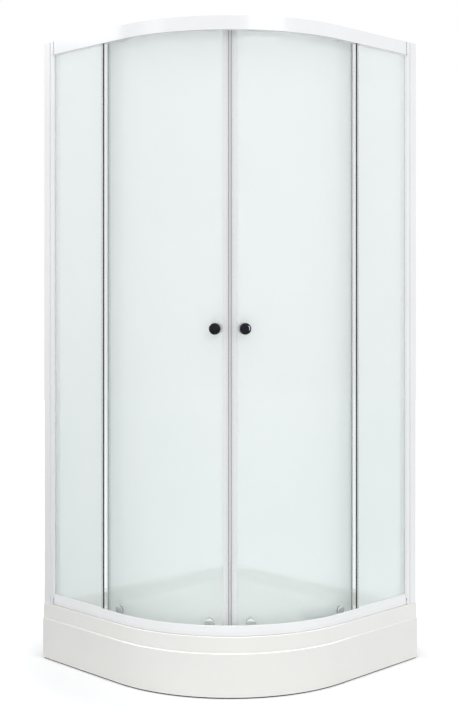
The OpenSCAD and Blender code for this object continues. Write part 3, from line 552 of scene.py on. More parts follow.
# Steel under the tray. Bent zinc-plated strips hold the skirt, and a welded frame of square
# tube, painted grey, carries the tray on six threaded legs with rubber pads.
# Zinc plating: cool grey metal, slightly cloudy, dull where it has been handled.
zinc_plate = surface(
    "zinc_plated_steel", ("#c3c5c8", "#d2d4d6"), (0.28, 0.42), mottle_mm=9, grain_mm=1.5,
    grain_depth_mm=0.02, fixed={"Metallic": 1.0},
)
# Powder-coated tube: an even grey paint with the fine orange peel of baked powder.
grey_powder = surface(
    "powder_coated_steel_grey", ("#7d8186", "#868a8f"), (0.38, 0.5), mottle_mm=60, grain_mm=1.2,
    grain_depth_mm=0.06, fixed={"IOR": 1.5},
)
# Moulded rubber: near black, matt, with a faint bloom on its surface.
foot_rubber = surface(
    "moulded_black_rubber", ("#1b1b1c", "#262627"), (0.6, 0.78), mottle_mm=12, grain_mm=0.8,
    grain_depth_mm=0.05, fixed={"IOR": 1.52},
)


def repaint(node, material):
    """Gives a CAD node that keeps its shape its finished material."""
    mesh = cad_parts[node].data
    mesh.materials.clear()
    mesh.materials.append(material)


for node in ("apron_brackets", "apron_screws"):
    repaint(node, zinc_plate)
repaint("tray_frame", grey_powder)


def turned(profile, steps=48, closed=False):
    """Shell turned about Z from (radius, height) points: a line with two ends, or a closed loop."""
    return loft([arc(0, 0, r, 0, 360 - 360 / steps, steps - 1, z) for r, z in profile], closed)


def placed(shell, matrix):
    """Shell moved by a matrix whose place is in millimetres."""
    points, faces = shell
    return [tuple(matrix @ Vector(p)) for p in points], faces


# The legs stand under the corners and crossings of the tube frame.
LEG_POINTS = [
    (-320.0, -342.167), (-320.0, 407.5), (39.5, -319.6), (366.0, -60.5), (366.0, 407.5),
    (-152.75, 39.5),
]


# One small part at each point of the host, turned by the angles that the point carries.
place_tree, place_in, part_form, place_keys = shape_tree("one part at each point", "Points", "Part")
turn_in = {"data_type": "FLOAT_VECTOR", "Name": "turn"}
point_turn = add(place_tree, "GeometryNodeInputNamedAttribute", turn_in)
copies = add(
    place_tree, "GeometryNodeInstanceOnPoints", None,
    {"Points": place_in["Points"], "Instance": part_form, "Rotation": point_turn.outputs[0]},
)
hand_out(place_tree, place_in, copies.outputs[0])


def repeated(name, shell, places, material, crease=35.0):
    """One shell repeated at places, each given as a point in millimetres and a turn in radians."""
    part = make_piece(name + "_part", shell, material, crease)
    host = wire(name + "_points", [p for p, _ in places])
    turn = host.data.attributes.new("turn", "FLOAT_VECTOR", "POINT")
    for i, (_, angles) in enumerate(places):
        turn.data[i].vector = angles
    piece = settled(host, place_tree, dict(zip(place_keys, (part, material))), name, crease)
    bpy.data.objects.remove(part)
    return piece


UPRIGHT = (0.0, 0.0, 0.0)
STUD_R = 6.0
THREAD_PITCH = 1.75
THREAD_DEPTH = 0.95
STUD_LOW, STUD_HIGH = 6.2, 112.4
STUD_CHAMFER = 0.9
THREAD_END = 1.2
# Thread as stacked turned grooves: at 1.75 mm pitch it reads the same as a helix.
stud_profile = [(0.0, STUD_LOW), (STUD_R - STUD_CHAMFER, STUD_LOW)]
z = STUD_LOW + STUD_CHAMFER
while z < STUD_HIGH - THREAD_END:
    stud_profile += [(STUD_R, z), (STUD_R - THREAD_DEPTH, z + THREAD_PITCH / 2)]
    z += THREAD_PITCH
stud_profile += [(STUD_R - STUD_CHAMFER, STUD_HIGH), (0.0, STUD_HIGH)]
legs = repeated(
    "leg_threaded_studs", turned(stud_profile, 24), [((x, y, 0), UPRIGHT) for x, y in LEG_POINTS],
    zinc_plate, 20.0,
)
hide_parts("leg_studs")
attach(legs, "enclosure")

NUT_R = 11.0
NUT_H = 10.0
NUT_CHAMFER = 1.4
NUT_LEVELS = (90.0, 16.0)


def hex_nut(outer, height, bore):
    """Hexagon nut with its corners chamfered, round a plain bore."""
    hexagon = arc(0, 0, outer, 0, 300, 5)
    sides = []
    for i in range(6):
        a, b = Vector(hexagon[i]), Vector(hexagon[(i + 1) % 6])
        sides += [tuple(a.lerp(b, t / 4)) for t in range(4)]
    flat_r = outer * math.cos(math.radians(30))
    rings = []
    levels = (0.0, NUT_CHAMFER, height - NUT_CHAMFER, height)
    for z, reach in zip(levels, (flat_r, outer, outer, flat_r)):
        scales = [min(1.0, reach / math.hypot(x, y)) for x, y in sides]
        rings.append([(x * s, y * s, z) for (x, y), s in zip(sides, scales)])
    for z in (height, 0.0):
        scales = [bore / math.hypot(x, y) for x, y in sides]
        rings.append([(x * s, y * s, z) for (x, y), s in zip(sides, scales)])
    return loft(rings, closed=True)


nuts = repeated(
    "leg_lock_nuts", hex_nut(NUT_R, NUT_H, STUD_R),
    [((x, y, level), UPRIGHT) for x, y in LEG_POINTS for level in NUT_LEVELS], zinc_plate,
)
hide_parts("leg_nuts")
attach(nuts, "enclosure")

pad_profile = [
    (0.0, 0.0), (20.6, 0.0), (22.0, 1.2), (22.0, 4.0), (20.8, 5.6), (17.0, 6.0), (12.4, 6.4),
    (11.0, 7.6), (11.0, 15.2), (10.3, 16.0), (6.0, 16.0), (6.0, 6.0), (0.0, 6.0),
]
pads = repeated(
    "leg_foot_pads", turned(pad_profile), [((x, y, 0), UPRIGHT) for x, y in LEG_POINTS], foot_rubber
)
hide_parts("foot_pads")
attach(pads, "enclosure")

# Waste. A chromed flange and a domed chromed cover over a white moulded trap, whose outlet
# leaves under the tray towards the back wall.
# Polished chrome: a mirror with a cool tint and the softest haze of limescale.
polished_chrome = surface(
    "polished_chrome_plate", ("#c9cbce", "#d4d6d8"), (0.05, 0.12), mottle_mm=25, grain_mm=6,
    grain_depth_mm=0.01, fixed={"Metallic": 1.0},
)
# Injection-moulded polypropylene: milky white, waxy, with fine spark-eroded grain.
moulded_pp = surface(
    "moulded_polypropylene_white", ("#e2e2de", "#e9e9e6"), (0.38, 0.5), mottle_mm=40, grain_mm=0.7,
    grain_depth_mm=0.04, fixed={"IOR": 1.49},
)
waste_place = Matrix.Translation((WASTE_X, WASTE_Y, 0))
FLANGE_R = 58.0
SLEEVE_R = 39.7
SLEEVE_LOW = 112.0


def oblong(x0, x1, y0, y1):
    """Four-sided outline between two values each way."""
    return [(x0, y0), (x1, y0), (x1, y1), (x0, y1)]


flange_form = [
    *offsets(FLANGE_R, TRAY_FLOOR, [(-0.8, 0.0), (0.0, 0.6), (-0.6, 1.8), (-3.0, 2.5)]),
    *offsets(SLEEVE_R, TRAY_FLOOR, [(1.3, 2.5), (0.0, 1.4)]),
    *offsets(SLEEVE_R, SLEEVE_LOW, [(0.0, 0.0), (-3.0, 0.0), (-3.0, -2.0), (3.0, -2.0)]),
    (SLEEVE_R + 3.0, TRAY_FLOOR),
]
flange_shell = placed(turned(flange_form, 64, closed=True), waste_place)
flange = make_piece("waste_flange_ring", flange_shell, polished_chrome)
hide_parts("waste_flange")
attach(flange, "enclosure")

COVER_LOW = 134.5
COVER_R = 54.0
COLLAR_IN, COLLAR_OUT = 37.4, 39.4
LID_TOP = 3.5
LID_EDGE = [(-1.8, 0.0), (-0.6, 0.5), (0.0, 1.6), (-0.4, 2.6), (-2.0, 3.3), (-5.5, LID_TOP)]
LID_EDGE += [(-6.2, 3.0), (-6.9, LID_TOP)]
lid_form = [(0.0, COVER_LOW), *offsets(COVER_R, COVER_LOW, LID_EDGE), (0.0, COVER_LOW + LID_TOP)]
collar_form = [
    (COLLAR_OUT, SLEEVE_LOW), (COLLAR_OUT, SLEEVE_LOW + 4.0), (COLLAR_IN, SLEEVE_LOW + 4.0),
    (COLLAR_IN, SLEEVE_LOW),
]
lid_shell = joined([turned(lid_form, 72), turned(collar_form, 64, closed=True)])
cover = make_piece("waste_cover_lid", placed(lid_shell, waste_place), polished_chrome)
COVER_LEGS = 8
LEG_HALF = 6.0
leg_plan = oblong(COLLAR_IN, COLLAR_OUT - 0.1, -LEG_HALF, LEG_HALF)
leg_angles = [math.radians(360 / COVER_LEGS * (i + 0.5)) for i in range(COVER_LEGS)]
cover_legs = repeated(
    "waste_cover_legs",
    loft([[(x, y, h) for x, y in leg_plan] for h in (SLEEVE_LOW + 3.5, COVER_LOW + 0.4)]),
    [((WASTE_X, WASTE_Y, 0), (0.0, 0.0, angle)) for angle in leg_angles], polished_chrome,
)
for piece in (cover, cover_legs):
    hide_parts("waste_cover")
    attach(piece, "enclosure")

repaint("waste_gasket", foot_rubber)

# The cup is open at the top and closed at the bottom but for a point on its axis.
CUP_R = 46.0
CUP_LOW = 45.0
CUP_TOP = 122.0
CUP_WALL = 3.0
cup_form = [
    (0.01, CUP_LOW), *offsets(CUP_R, CUP_LOW, [(-3.0, 0.0), (-0.8, 0.9), (0.0, 3.0)]),
    *offsets(CUP_R, CUP_TOP, [(0.0, -14.0), (1.5, -13.0), (1.5, -10.0), (0.0, -9.0), (0.0, -3.0)]),
    *offsets(FLANGE_R, CUP_TOP, [(-0.8, -3.0), (0.0, -2.2), (0.0, 0.0)]),
    (CUP_R - CUP_WALL, CUP_TOP),
    *offsets(CUP_R - CUP_WALL, CUP_LOW, [(0.0, 4.0), (-1.0, CUP_WALL)]), (0.01, CUP_LOW + CUP_WALL),
]
OUTLET_Z = 75.0
OUTLET_R, OUTLET_BORE = 20.0, 17.0
OUTLET_START, OUTLET_SHOULDER, OUTLET_END = 44.0, 52.0, 124.0
outlet_form = [
    (OUTLET_R + 3.0, OUTLET_START),
    *offsets(OUTLET_R, OUTLET_SHOULDER, [(3.0, -0.6), (2.4, 0.0), (0.0, 0.0)]),
    *offsets(OUTLET_R, OUTLET_END, [(0.0, -1.4), (-1.4, 0.0)]), (OUTLET_BORE, OUTLET_END),
    (OUTLET_BORE, OUTLET_START),
]
outlet_place = Matrix.Translation((0, 0, OUTLET_Z)) @ Matrix.Rotation(math.radians(-90), 4, "X")
outlet_shell = placed(turned(outlet_form, 48, closed=True), outlet_place)
trap_shell = placed(joined([turned(cup_form, 64, closed=True), outlet_shell]), waste_place)
trap = make_piece("waste_trap_body", trap_shell, moulded_pp)
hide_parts("waste_trap")
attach(trap, "enclosure")

# Wall profiles and side posts. White powder-coated aluminium extrusions: a channel screwed to
# each wall, and a hollow post that slides into it and grips the fixed glass.
# White powder coat on aluminium: even satin white, with orange peel of about a millimetre.
white_powder = surface(
    "powder_coated_aluminium_white", ("#eeefef", "#f2f3f3"), (0.2, 0.28), mottle_mm=120,
    grain_mm=1.4, grain_depth_mm=0.006,
    fixed={"IOR": 1.5, "Coat Weight": 0.5, "Coat Roughness": 0.08},
)
FRAME_TOP = 2090.0


def prism(loops, low, high):
    """Upright shell from a plan outline and any holes in it."""
    shells = []
    for loop in loops:
        n = len(loop)
        points = [(x, y, low) for x, y in loop] + [(x, y, high) for x, y in loop]
        shells.append((points, [(i, (i + 1) % n, n + (i + 1) % n, n + i) for i in range(n)]))
    points, faces = joined(shells)
    flat = [[Vector((x, y, 0)) for x, y in loop] for loop in loops]
    index, start = [], 0
    for loop in loops:
        index.append((start, len(loop)))
        start += 2 * len(loop)
    lookup = [(first + k, first + n + k) for first, n in index for k in range(n)]
    for tri in tessellate_polygon(flat):
        faces.append(tuple(lookup[i][0] for i in tri))
        faces.append(tuple(lookup[i][1] for i in reversed(tri)))
    return points, faces


def on_left(shell):
    """Shell of the right-hand side turned into its twin across the diagonal."""
    points, faces = shell
    return [(-y, -x, z) for x, y, z in points], [tuple(reversed(f)) for f in faces]


def both(name, shell, material, nodes, body, crease=35.0):
    """Makes the right-hand piece and its twin, each standing for its own CAD node."""
    made = []
    for side, form in (("right", shell), ("left", on_left(shell))):
        piece = make_piece(f"{name}_{side}", form, material, crease)
        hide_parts(*[n.format(side=side) for n in nodes])
        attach(piece, body.format(side=side))
        made.append(piece)
    return made


RAIL_FACE = 5.0
PROFILE_W = 34.0
PROFILE_D = 31.0
METAL = 2.0
PROFILE_OUT = FOOTPRINT_HALF - RAIL_FACE
PROFILE_BACK = PROFILE_OUT - PROFILE_W
PROFILE_FREE = FOOTPRINT_HALF - PROFILE_D
channel = [
    (PROFILE_BACK, PROFILE_FREE), (PROFILE_BACK + METAL, PROFILE_FREE),
    (PROFILE_BACK + METAL, FOOTPRINT_HALF - METAL), (PROFILE_OUT - METAL, FOOTPRINT_HALF - METAL),
    (PROFILE_OUT - METAL, PROFILE_FREE), (PROFILE_OUT, PROFILE_FREE), (PROFILE_OUT, FOOTPRINT_HALF),
    (PROFILE_BACK, FOOTPRINT_HALF),
]
both(
    "wall_profile", prism([soften(channel, 0.7)], TRAY_TOP, FRAME_TOP), white_powder,
    ["wall_profile_{side}"], "enclosure",
)
POST_REACH = 51.0
POST_DEEP = 43.0
POST_PLAY = 0.3
SLOT_FRONT, SLOT_BACK, SLOT_DEEP = 11.0, 18.5, 15.0
POST_FREE = FOOTPRINT_HALF - POST_REACH
POST_OUT = PROFILE_OUT - METAL - POST_PLAY
POST_BACK = PROFILE_BACK + METAL + POST_PLAY
GROOVE_OUT = FOOTPRINT_HALF - SLOT_FRONT
GROOVE_IN = FOOTPRINT_HALF - SLOT_BACK
post_outer = [
    (POST_BACK, POST_FREE), (GROOVE_IN, POST_FREE), (GROOVE_IN, POST_FREE + SLOT_DEEP),
    (GROOVE_OUT, POST_FREE + SLOT_DEEP), (GROOVE_OUT, POST_FREE), (POST_OUT, POST_FREE),
    (POST_OUT, POST_FREE + POST_DEEP), (POST_BACK, POST_FREE + POST_DEEP),
]
post_hollow = [
    (POST_BACK + METAL, POST_FREE + METAL), (GROOVE_IN - METAL, POST_FREE + METAL),
    (GROOVE_IN - METAL, POST_FREE + SLOT_DEEP + METAL),
    (POST_OUT - METAL, POST_FREE + SLOT_DEEP + METAL),
    (POST_OUT - METAL, POST_FREE + POST_DEEP - METAL),
    (POST_BACK + METAL, POST_FREE + POST_DEEP - METAL),
]
both(
    "side_post", prism([soften(post_outer, 0.8), soften(post_hollow, 0.5)], TRAY_TOP, FRAME_TOP),
    white_powder, ["side_post_{side}"], "enclosure",
)

# Three pan-head screws a side join the post to its channel, driven from inside the shower.
SCREW_LEVELS = [340.0, 1160.0, 1940.0]
SCREW_Y = PROFILE_FREE + 9
screw_form = [(0.0, 0.6), (1.1, 0.6), (1.3, 2.35), (2.6, 2.1), (3.6, 1.3), (4.0, 0.3), (4.0, 0.0)]
screw_form += [(2.0, 0.0), (2.0, -7.3), (0.0, -7.3)]
face_west = (0.0, math.radians(-90), 0.0)
face_north = (math.radians(-90), 0.0, 0.0)
screws = repeated(
    "post_screws", turned(screw_form, 32),
    [((PROFILE_BACK, SCREW_Y, level), face_west) for level in SCREW_LEVELS]
    + [((-SCREW_Y, -PROFILE_BACK, level), face_north) for level in SCREW_LEVELS], zinc_plate,
)
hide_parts("frame_screws")
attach(screws, "enclosure")

# Rails. Two white powder-coated extrusions, each rolled to the curve of the front. The lower
# one has a sloping nose and a shallow track, the upper one is a box with the track inside.
SILL = 222.0
TRACK = 192.0
HEAD = 2046.0
LEDGE = 2062.0
RAIL_END = POST_FREE - METAL
LOW_SLOT = 199.4
LOW_LIP = 196.5
TRACK_FRONT, TRACK_BACK = SLOT_BACK + METAL, 43.0
LOW_BACK = TRACK_BACK + METAL
HIGH_BACK = LOW_BACK + METAL
bottom_outline = [
    (7.5, TRAY_TOP), (RAIL_FACE, TRAY_TOP + 1.6), (RAIL_FACE, 202.2), (9.0, SILL - 1.5),
    (9.8, SILL), (SLOT_FRONT, SILL), (SLOT_FRONT, TRACK), (SLOT_BACK, TRACK), (SLOT_BACK, LOW_SLOT),
    (TRACK_FRONT, LOW_SLOT), (TRACK_FRONT, TRACK), (TRACK_BACK, TRACK), (TRACK_BACK, LOW_LIP),
    (LOW_BACK, LOW_LIP), (LOW_BACK, TRAY_TOP),
]
bottom_rail = swept("bottom_rail", soften(bottom_outline, 0.6), whole_front(RAIL_END), white_powder)
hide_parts("bottom_rail")
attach(bottom_rail, "enclosure")
shiny_edges.objects.link(bottom_rail)
LEDGE_LOW = LEDGE - METAL
LIP_LOW = FRAME_TOP - 10.0
top_outline = [
    (RAIL_FACE, HEAD), (RAIL_FACE, FRAME_TOP), (HIGH_BACK, FRAME_TOP), (HIGH_BACK, LIP_LOW),
    (LOW_BACK, LIP_LOW), (LOW_BACK, FRAME_TOP - METAL), (RAIL_FACE + METAL, FRAME_TOP - METAL),
    (RAIL_FACE + METAL, HEAD + METAL), (9.0, HEAD + METAL), (9.0, LEDGE), (TRACK_BACK, LEDGE),
    (TRACK_BACK, LEDGE + 3), (LOW_BACK, LEDGE + 3), (LOW_BACK, LEDGE_LOW), (TRACK_FRONT, LEDGE_LOW),
    (TRACK_FRONT, HEAD), (SLOT_BACK, HEAD), (SLOT_BACK, LEDGE_LOW), (SLOT_FRONT, LEDGE_LOW),
    (SLOT_FRONT, HEAD),
]
top_rail = swept("top_rail", soften(top_outline, 0.9), whole_front(RAIL_END), white_powder)
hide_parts("top_rail")
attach(top_rail, "enclosure")

# End caps. Moulded white plastic plates close the rail ends and lap onto the posts with a
# rounded outer corner.
# Injection-moulded ABS: clean white, slightly glossier than the powder coat beside it.
moulded_abs = surface(
    "moulded_abs_white", ("#f1f1f0", "#f5f5f4"), (0.2, 0.28), mottle_mm=30, grain_mm=2.5,
    grain_depth_mm=0.02, fixed={"IOR": 1.53, "Coat Weight": 0.2, "Coat Roughness": 0.1},
)
CAP_T = 2.0
CAP_REACH = RAIL_END + CAP_T + 11.0
CAP_ROUND = 9.0
LOW_LAP_TOP = 211.16


def end_cap(low, high, lap_top, depth, bridge):
    """Lapping face with a rounded outer corner, and the plates that close the rail behind it."""
    face = [(RAIL_END, low), (CAP_REACH, low)]
    face += [(CAP_REACH - back, lap_top - down) for back, down in quarter(CAP_ROUND, 8)]
    face.append((RAIL_END, lap_top))
    # The outermost outline is drawn in a little, which bevels the edge of the face.
    drawn_in = [(RAIL_END + (y - RAIL_END) * 0.965, low + (z - low) * 0.99 + 0.1) for y, z in face]
    stages = ((PROFILE_OUT - CAP_T, face), (PROFILE_OUT - 0.5, face), (PROFILE_OUT, drawn_in))
    plates = [loft([[(x, y, z) for y, z in shape] for x, shape in stages])]
    for x0, x1, levels in (
        (GROOVE_OUT, PROFILE_OUT, (low, high)), (FOOTPRINT_HALF - depth, GROOVE_IN, (low, high)),
        (GROOVE_IN, GROOVE_OUT, bridge),
    ):
        plates.append(prism([oblong(x0, x1, RAIL_END, RAIL_END + CAP_T)], *levels))
    return joined(plates)


high_cap = end_cap(HEAD, FRAME_TOP, FRAME_TOP, HIGH_BACK, (LEDGE_LOW, FRAME_TOP))
low_cap = end_cap(TRAY_TOP, SILL, LOW_LAP_TOP, LOW_BACK, (TRAY_TOP, TRACK))
caps = joined([high_cap, low_cap])
end_caps = make_piece("rail_end_caps", joined([caps, on_left(caps)]), moulded_abs)
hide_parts("rail_end_caps")
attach(end_caps, "enclosure")

repaint("door_stops", foot_rubber)

# Fixed glass. One flat pane of 5 mm toughened glass a side, set in white vinyl gaskets in the
# rails and the post, with a clear channel and its black lip pushed over the free edge.
# Toughened glass: pale green and a little milky as satin glass is, its tint growing darker lower
# down, darkest towards the tray. Long faint waves come from the rollers of the furnace.
DARKENING_TOP, DARKENING_LOW = 1.3, 0.25
GLASS_UPPER_TINT = ("#f9fffd", "#fbfffe")
GLASS_LOWER_TINT = ("#f2f9f7", "#f5fbf9")
WAVE_DEPTH = 0.00005
toughened_glass = bpy.data.materials.new("toughened_satin_glass")
pane_tree = bare_tree(toughened_glass)
pane_place = add(pane_tree, "ShaderNodeTexCoord").outputs["Object"]
tint_noise = noise(pane_tree, pane_place, 3.0, 3.0)
upper_tint, lower_tint = [between(pane_tree, shades, tint_noise) for shades in (GLASS_UPPER_TINT, GLASS_LOWER_TINT)]
height = add(pane_tree, "ShaderNodeSeparateXYZ", None, {0: pane_place})
# The pane's colour mixes towards the darker tint lower down.
darkening = add(
    pane_tree, "ShaderNodeMapRange",
    {"interpolation_type": "SMOOTHSTEP", "From Min": DARKENING_TOP, "From Max": DARKENING_LOW},
    {"Value": height.outputs["Z"]},
)
darkening_mix = {0: darkening.outputs[0], 6: upper_tint, 7: lower_tint}
pane_colour = add(pane_tree, "ShaderNodeMix", {"data_type": "RGBA"}, darkening_mix)
wave = {"Height": noise(pane_tree, pane_place, 4.0, 1.0)}
pane_relief = add(pane_tree, "ShaderNodeBump", {"Strength": 1.0, "Distance": WAVE_DEPTH}, wave)
pane_gloss = add(pane_tree, "ShaderNodeMapRange", {"To Min": 0.02, "To Max": 0.05}, {"Value": tint_noise})
shaded(
    pane_tree, {"IOR": 1.35, "Transmission Weight": 0.46},
    {
        "Base Color": pane_colour.outputs[2], "Roughness": pane_gloss.outputs[0],
        "Normal": pane_relief.outputs[0],
    },
)

# Extruded vinyl and EPDM: matt and even, with a soft sheen.
white_vinyl = surface(
    "extruded_vinyl_white", ("#f6f7f7", "#fafbfb"), (0.3, 0.36), mottle_mm=300, grain_mm=5.0,
    grain_depth_mm=0.002, fixed={"IOR": 1.5},
)
black_epdm = surface(
    "extruded_epdm_black", ("#18191b", "#1f2123"), (0.5, 0.6), mottle_mm=60, grain_mm=2.0,
    grain_depth_mm=0.004, fixed={"IOR": 1.45},
)
# Plasticised vinyl: milky, slightly grey where it is thick, with a soft shine.
soft_vinyl = surface(
    "extruded_soft_vinyl", ("#e4e5e5", "#e8e9e9"), (0.26, 0.32), mottle_mm=300, grain_mm=6.0,
    grain_depth_mm=0.002, fixed={"IOR": 1.5},
)
# The thin channels and fins are the same vinyl, and let most of the light through.
clear_vinyl = surface(
    "extruded_clear_vinyl", ("#f2f4f4", "#f6f8f8"), (0.2, 0.26), mottle_mm=300, grain_mm=6.0,
    grain_depth_mm=0.002, fixed={"IOR": 1.12, "Transmission Weight": 0.85},
)
GASKET_T = 1.25
GLASS_T = 5.0
PANE_OUT = GROOVE_OUT - GASKET_T
PANE_IN = PANE_OUT - GLASS_T
PANE_FREE = FOOTPRINT_HALF - 306.0
PANE_HELD = POST_FREE + SLOT_DEEP - GASKET_T
pane = oblong(PANE_IN, PANE_OUT, PANE_FREE, PANE_HELD)
both(
    "fixed_pane", prism([soften(pane, 0.7)], TRACK + GASKET_T, LEDGE_LOW - GASKET_T),
    toughened_glass, ["fixed_glass_{side}"], "enclosure",
)
BEAD = 2.4
OFF = 0.05
TONGUE_T = 1.15
GASKET_END = PANE_FREE + 8.5


def bead_section(glass_x, away, seat, out, tongue, reach):
    """Outline of a gasket: a bead that stands out of its seat, and a tongue that goes into it."""
    return soften(
        [
            (glass_x, seat + out * BEAD), (glass_x + away * (reach - 0.9), seat + out * BEAD),
            (glass_x + away * reach, seat + out * BEAD * 0.6),
            (glass_x + away * reach, seat + out * OFF),
            (glass_x + away * TONGUE_T, seat - out * OFF),
            (glass_x + away * TONGUE_T, seat + tongue), (glass_x, seat + tongue),
        ],
        0.5,
    )


bead_forms = []
for glass_x, away in ((PANE_OUT + OFF, 1), (PANE_IN - OFF, -1)):
    upright = bead_section(glass_x, away, POST_FREE, -1, 12.0, 2.0)
    bead_forms.append(prism([upright], TRAY_TOP + 4, LEDGE - 3))
    for seat, out, tongue in ((HEAD, -1, 12.0), (SILL if away > 0 else LOW_SLOT, 1, -7.0)):
        level = bead_section(glass_x, away, seat, out, tongue, 1.9)
        ends = (GASKET_END, POST_FREE - BEAD)
        bead_forms.append(loft([[(x, y, z) for x, z in level] for y in ends]))
beads = joined(bead_forms)
gaskets = make_piece("glazing_beads", joined([beads, on_left(beads)]), white_vinyl)
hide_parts("glazing_gaskets")
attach(gaskets, "enclosure")
CHANNEL_END = PANE_FREE + 6.5
edge_channel = [
    (PANE_IN - 1, PANE_FREE - 1), (PANE_OUT + 1, PANE_FREE - 1), (PANE_OUT + 1, CHANNEL_END),
    (PANE_OUT + OFF, CHANNEL_END), (PANE_OUT + OFF, PANE_FREE), (PANE_IN - OFF, PANE_FREE),
    (PANE_IN - OFF, CHANNEL_END), (PANE_IN - 1, CHANNEL_END),
]
edge_lip = oblong(PANE_IN + 0.3, PANE_OUT - 0.3, PANE_FREE - 1.9, PANE_FREE - 1.05)


def on_free_edges(name, outline, radius, material):
    """The same upright strip on the free edge of both panes, as one piece."""
    strip_form = prism([soften(outline, radius)], TRACK, LEDGE_LOW)
    return make_piece(name, joined([strip_form, on_left(strip_form)]), material)


edge_channels = on_free_edges("fixed_edge_channels", edge_channel, 0.4, clear_vinyl)
edge_lips = on_free_edges("fixed_edge_lips", edge_lip, 0.35, black_epdm)
for piece in (edge_channels, edge_lips):
    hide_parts("fixed_edge_seals")
    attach(piece, "enclosure")

# Curved doors. Each is one pane of the same glass bent round the front, with polished edges
# and drilled holes for its knob and its two lower rollers.
DOOR_BEHIND = 50.0
DOOR_OUT = FRONT_R - DOOR_BEHIND
DOOR_IN = DOOR_OUT - GLASS_T
DOOR_MID = DOOR_OUT - GLASS_T / 2
DOOR_LOW = 200.0
DOOR_HIGH = 2056.0
DOOR_TAIL = FOOTPRINT_HALF - 283.0
LEAD = 8.2
HOLE_R = 6.0
KNOB_Z = 1130.0
ROLLER_Z = 220.0


def along(length):
    """Angle in degrees that a length spans along the door glass."""
    return math.degrees(length / DOOR_MID)


KNOB_ANGLE = -45 + along(44.0)
ROLLER_ANGLE = -37.0
ROLLER_Y = 90.0
door_line = front_path(DOOR_TAIL, -45 + along(LEAD), 38)
HOLE_BAND = 15
HOLE_BANDS = [z + side * HOLE_BAND for z in (ROLLER_Z, KNOB_Z) for side in (-1, 1)]
GLASS_BACK = DOOR_BEHIND + GLASS_T
door_section = [(DOOR_BEHIND, DOOR_LOW), (GLASS_BACK, DOOR_LOW)]
door_section += [(GLASS_BACK, z) for z in (*HOLE_BANDS, DOOR_HIGH)]
door_section += [(DOOR_BEHIND, z) for z in (DOOR_HIGH, *reversed(HOLE_BANDS))]


def outward(angle, y, z):
    """Matrix from a local frame, whose X points out through the glass, to its place on the door."""
    turn = Matrix.Rotation(math.radians(angle), 4, "Z")
    return Matrix.Translation((ARC_X, y, z)) @ turn


AT_KNOB = outward(KNOB_ANGLE, ARC_Y, KNOB_Z)
AT_ROLLERS = [outward(0.0, ROLLER_Y, 0.0), outward(ROLLER_ANGLE, ARC_Y, 0.0)]
TO_X = Matrix.Rotation(math.radians(90), 4, "Y")
DRILL_PAST = 20


def mirrored_object(piece, name):
    """Twin of a finished piece across the diagonal, with its faces turned outwards again."""
    mesh = piece.data.copy()
    mesh.name = name
    mesh.transform(Matrix(((0, -1, 0, 0), (-1, 0, 0, 0), (0, 0, 1, 0), (0, 0, 0, 1))))
    mesh.flip_normals()
    return linked(name, mesh)


def drilled(piece, matrices, crease):
    """Cuts a glass hole of the drill's radius at each place and keeps the plain mesh."""
    low, high = DOOR_IN - DRILL_PAST, DOOR_OUT + DRILL_PAST
    bore = turned(oblong(0, HOLE_R, low, high), 40)
    bores = joined([placed(bore, m @ TO_X) for m in matrices])
    drill = make_piece("glass_drill", bores, piece.data.materials[0])
    cut = piece.modifiers.new("holes", "BOOLEAN")
    cut.operation = "DIFFERENCE"
    cut.solver = "EXACT"
    cut.object = drill
    graph = bpy.context.evaluated_depsgraph_get()
    mesh = bpy.data.meshes.new_from_object(piece.evaluated_get(graph))
    piece.modifiers.remove(cut)
    piece.data = mesh
    tidy_mesh(mesh, crease)
    bpy.data.objects.remove(drill)
    return piece


door_form = soften(door_section, 0.7, 2)
right_pane = swept("door_pane_right", door_form, door_line, toughened_glass, 30.0)
hole_places = [AT_KNOB] + [Matrix.Translation((0, 0, ROLLER_Z)) @ m for m in AT_ROLLERS]
drilled(right_pane, hole_places, 30.0)
left_pane = mirrored_object(right_pane, "door_pane_left")
for side, piece in (("right", right_pane), ("left", left_pane)):
    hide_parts(f"{side}_door_glass")
    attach(piece, f"{side}_door")

# Door seals. Soft vinyl pushed onto the glass edges: milky on the leading edge, where it carries
# a black magnet strip, and clear on the trailing edge, with a fin that sweeps the fixed glass.
# Black for the magnet in the seal, and for painted shade lines in the seal's recesses.
magnet_and_shade_black = surface(
    "black_magnet_and_painted_shade", ("#141516", "#1d1e1f"), (0.5, 0.62), mottle_mm=20, grain_mm=1.0,
    grain_depth_mm=0.02, fixed={"IOR": 1.5},
)


def door_plan(radius, length):
    """Plan point on the door's arc: radius, and length along the glass from the meeting line."""
    a = math.radians(-45 + along(length))
    return ARC_X + radius * math.cos(a), ARC_Y + radius * math.sin(a)


def full_height(outlines, radius):
    """Upright strips of the door's height, one from each outline, with their corners rounded."""
    return joined([prism([soften(outline, radius)], DOOR_LOW, DOOR_HIGH) for outline in outlines])


def across_glass(low, high, start, end):
    """Four-sided outline between two radii and two lengths along the glass."""
    return [door_plan(*corner) for corner in oblong(low, high, start, end)]


